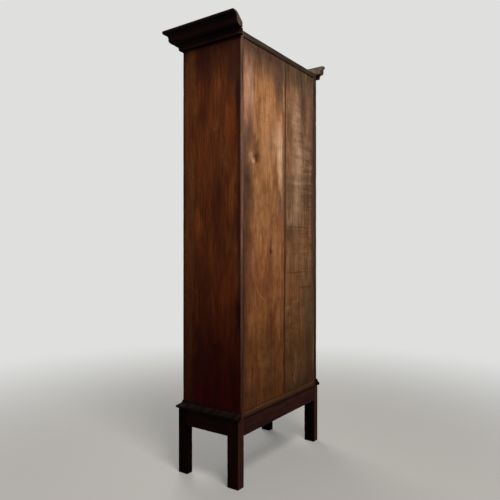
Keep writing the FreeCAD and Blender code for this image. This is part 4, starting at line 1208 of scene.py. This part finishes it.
# %% Shelves, blocks and pegs
shelf_wear = (0.8, None, 0.0)
block_wear = (0.6, None, 0.0)
peg_wear = (0.2, None, 0.0)
for place in ("lower", "middle", "upper"):
    dress(f"shelf_{place}", inner_pine["X"], shelf_wear)
for node, axis in (("shelf_cleats", "Y"), ("back_battens", "X"), ("door_stop", "Z"),
                   ("stand_glue_blocks", "Z")):
    dress(node, inner_pine[axis], block_wear)
dress("cornice_glue_blocks", raw_pale["X"], block_wear)
for node in ("frame_pegs", "door_pegs"):
    dress(node, front_mahogany["Z"], peg_wear)
print("inside dressed")

# %% [markdown]
# ## Hardware
# The metal pieces were filed to shape and already have their true forms. They could be eased as well, but
# metal this small keeps its edges, so the pieces stay and only get their finish.

# %% Brass and iron pieces
brass_pieces = ["hinge_frame_leaves", "hinge_door_leaves", "hinge_pins", "frame_screws", "door_screws",
                "keyhole_plate", "keyhole_plate_pins", "strike_plate", "lock_cap", "lock_bolt"]
iron_pieces = ["back_nails", "cleat_screws", "lock_case", "lock_spring", "key"]
for names, metal in ((brass_pieces, aged_brass), (iron_pieces, dark_iron)):
    for name in names:
        nodes[name].data.materials.clear()
        nodes[name].data.materials.append(metal)
print(len(brass_pieces) + len(iron_pieces), "metal pieces")

# %% [markdown]
# ## Floor and background
# A pale floor catches the shadow. Far from the cabinet it fades into the same plain pale colour that the
# camera sees behind everything, so no horizon cuts the picture. Reflections see that colour as well. A bright
# lamp on a white sheet would do the same in a studio, but its light would wash out the dark wood; here the
# colour is only seen and lights nothing.

# %% Rays that see the background
wall_colour = "#dfe0de"


def seen_directly(tree):
    """1 for rays from the camera, from reflections and through glass; 0 for rays that light things."""
    total = 0.0
    for name in ("Is Camera Ray", "Is Glossy Ray", "Is Transmission Ray"):
        total = add(tree, "Math", [add(tree, "LightPath", [], name), total], operation="MAXIMUM")
    return total


print("background", wall_colour)

# %% Floor
floor_colour = "#a9a39b"
floor_rough = 0.7
floor_radius = 9.0
fade_from, fade_to = 0.6, 2.6
floor_lift = 0.2

floor_mesh = bpy.data.meshes.new("floor")
bm = bmesh.new()
bmesh.ops.create_circle(bm, cap_ends=True, segments=96, radius=floor_radius)
bm.to_mesh(floor_mesh)
bm.free()
floor = bpy.data.objects.new("floor", floor_mesh)
bpy.context.scene.collection.objects.link(floor)

floor_finish, tree, shader = start("pale_floor")
shader.inputs["Base Color"].default_value = linear(floor_colour)
shader.inputs["Roughness"].default_value = floor_rough
away = add(tree, "VectorMath", [add(tree, "TexCoord", [], "Object")], operation="LENGTH")
far = add(tree, "MapRange", [away, fade_from, fade_to, floor_lift, 1.0], **smooth)
fade = add(tree, "Math", [far, seen_directly(tree)], operation="MULTIPLY")
glow = add(tree, "Emission", {"Color": linear(wall_colour), "Strength": 1.0})
both = add(tree, "MixShader", [fade, shader.outputs["BSDF"], glow])
tree.links.new(both, tree.nodes["Material Output"].inputs["Surface"])
floor_mesh.materials.append(floor_finish)
print("floor", 2 * floor_radius, "m wide")

# %% World
ambient = 0.1
world = bpy.data.worlds.new("studio")
bpy.context.scene.world = world
world.use_nodes = True
tree = world.node_tree
soft = add(tree, "Background", {"Color": linear("#ffffff"), "Strength": ambient})
wall = add(tree, "Background", {"Color": linear(wall_colour), "Strength": 1.0})
chosen = add(tree, "MixShader", [seen_directly(tree), soft, wall])
tree.links.new(chosen, tree.nodes["World Output"].inputs["Surface"])
print("ambient light", ambient)

# %% [markdown]
# ## Light and camera
# A large soft lamp stands high beside the camera, so the head of the cabinet is brightest and the stand
# falls into shade. A second one lights the front from the other side. A sun lamp would light every height
# alike and draw hard shadows, so both are square area lamps. The camera stands where the picture was taken:
# at about half the cabinet's height, behind its right rear corner, level.

# %% Lamps


def lamp(name, place, aim, size, watts):
    """A square soft lamp that looks at a point."""
    light = bpy.data.lights.new(name, "AREA")
    light.size = size
    light.energy = watts
    holder = bpy.data.objects.new(name, light)
    holder.location = place
    holder.rotation_euler = (Vector(aim) - Vector(place)).to_track_quat("-Z", "Y").to_euler()
    holder.visible_camera = False
    bpy.context.scene.collection.objects.link(holder)


lamp("key_lamp", place=(0.95, 1.35, 2.45), aim=(0.1, 0.1, 1.4), size=0.8, watts=62)
lamp("front_lamp", place=(-1.4, -1.9, 2.3), aim=(0.0, 0.0, 1.0), size=1.4, watts=40)
print(len(bpy.data.lights), "lamps")

# %% Camera
eye = Vector((1.652, 1.1415, 0.787))
heading = math.radians(235.277)
tilt = math.radians(0.10)
sensor_mm = 36.0
lens_mm = 37.21
ahead = Vector((math.sin(heading) * math.cos(tilt), math.cos(heading) * math.cos(tilt), math.sin(tilt)))
camera_data = bpy.data.cameras.new("camera")
camera_data.sensor_width = sensor_mm
camera_data.lens = lens_mm
camera = bpy.data.objects.new("camera", camera_data)
camera.location = eye
camera.rotation_euler = ahead.to_track_quat("-Z", "Y").to_euler()
bpy.context.scene.collection.objects.link(camera)
bpy.context.scene.camera = camera
bpy.context.scene.view_settings.view_transform = "Standard"
print("camera at", [round(value, 3) for value in eye])
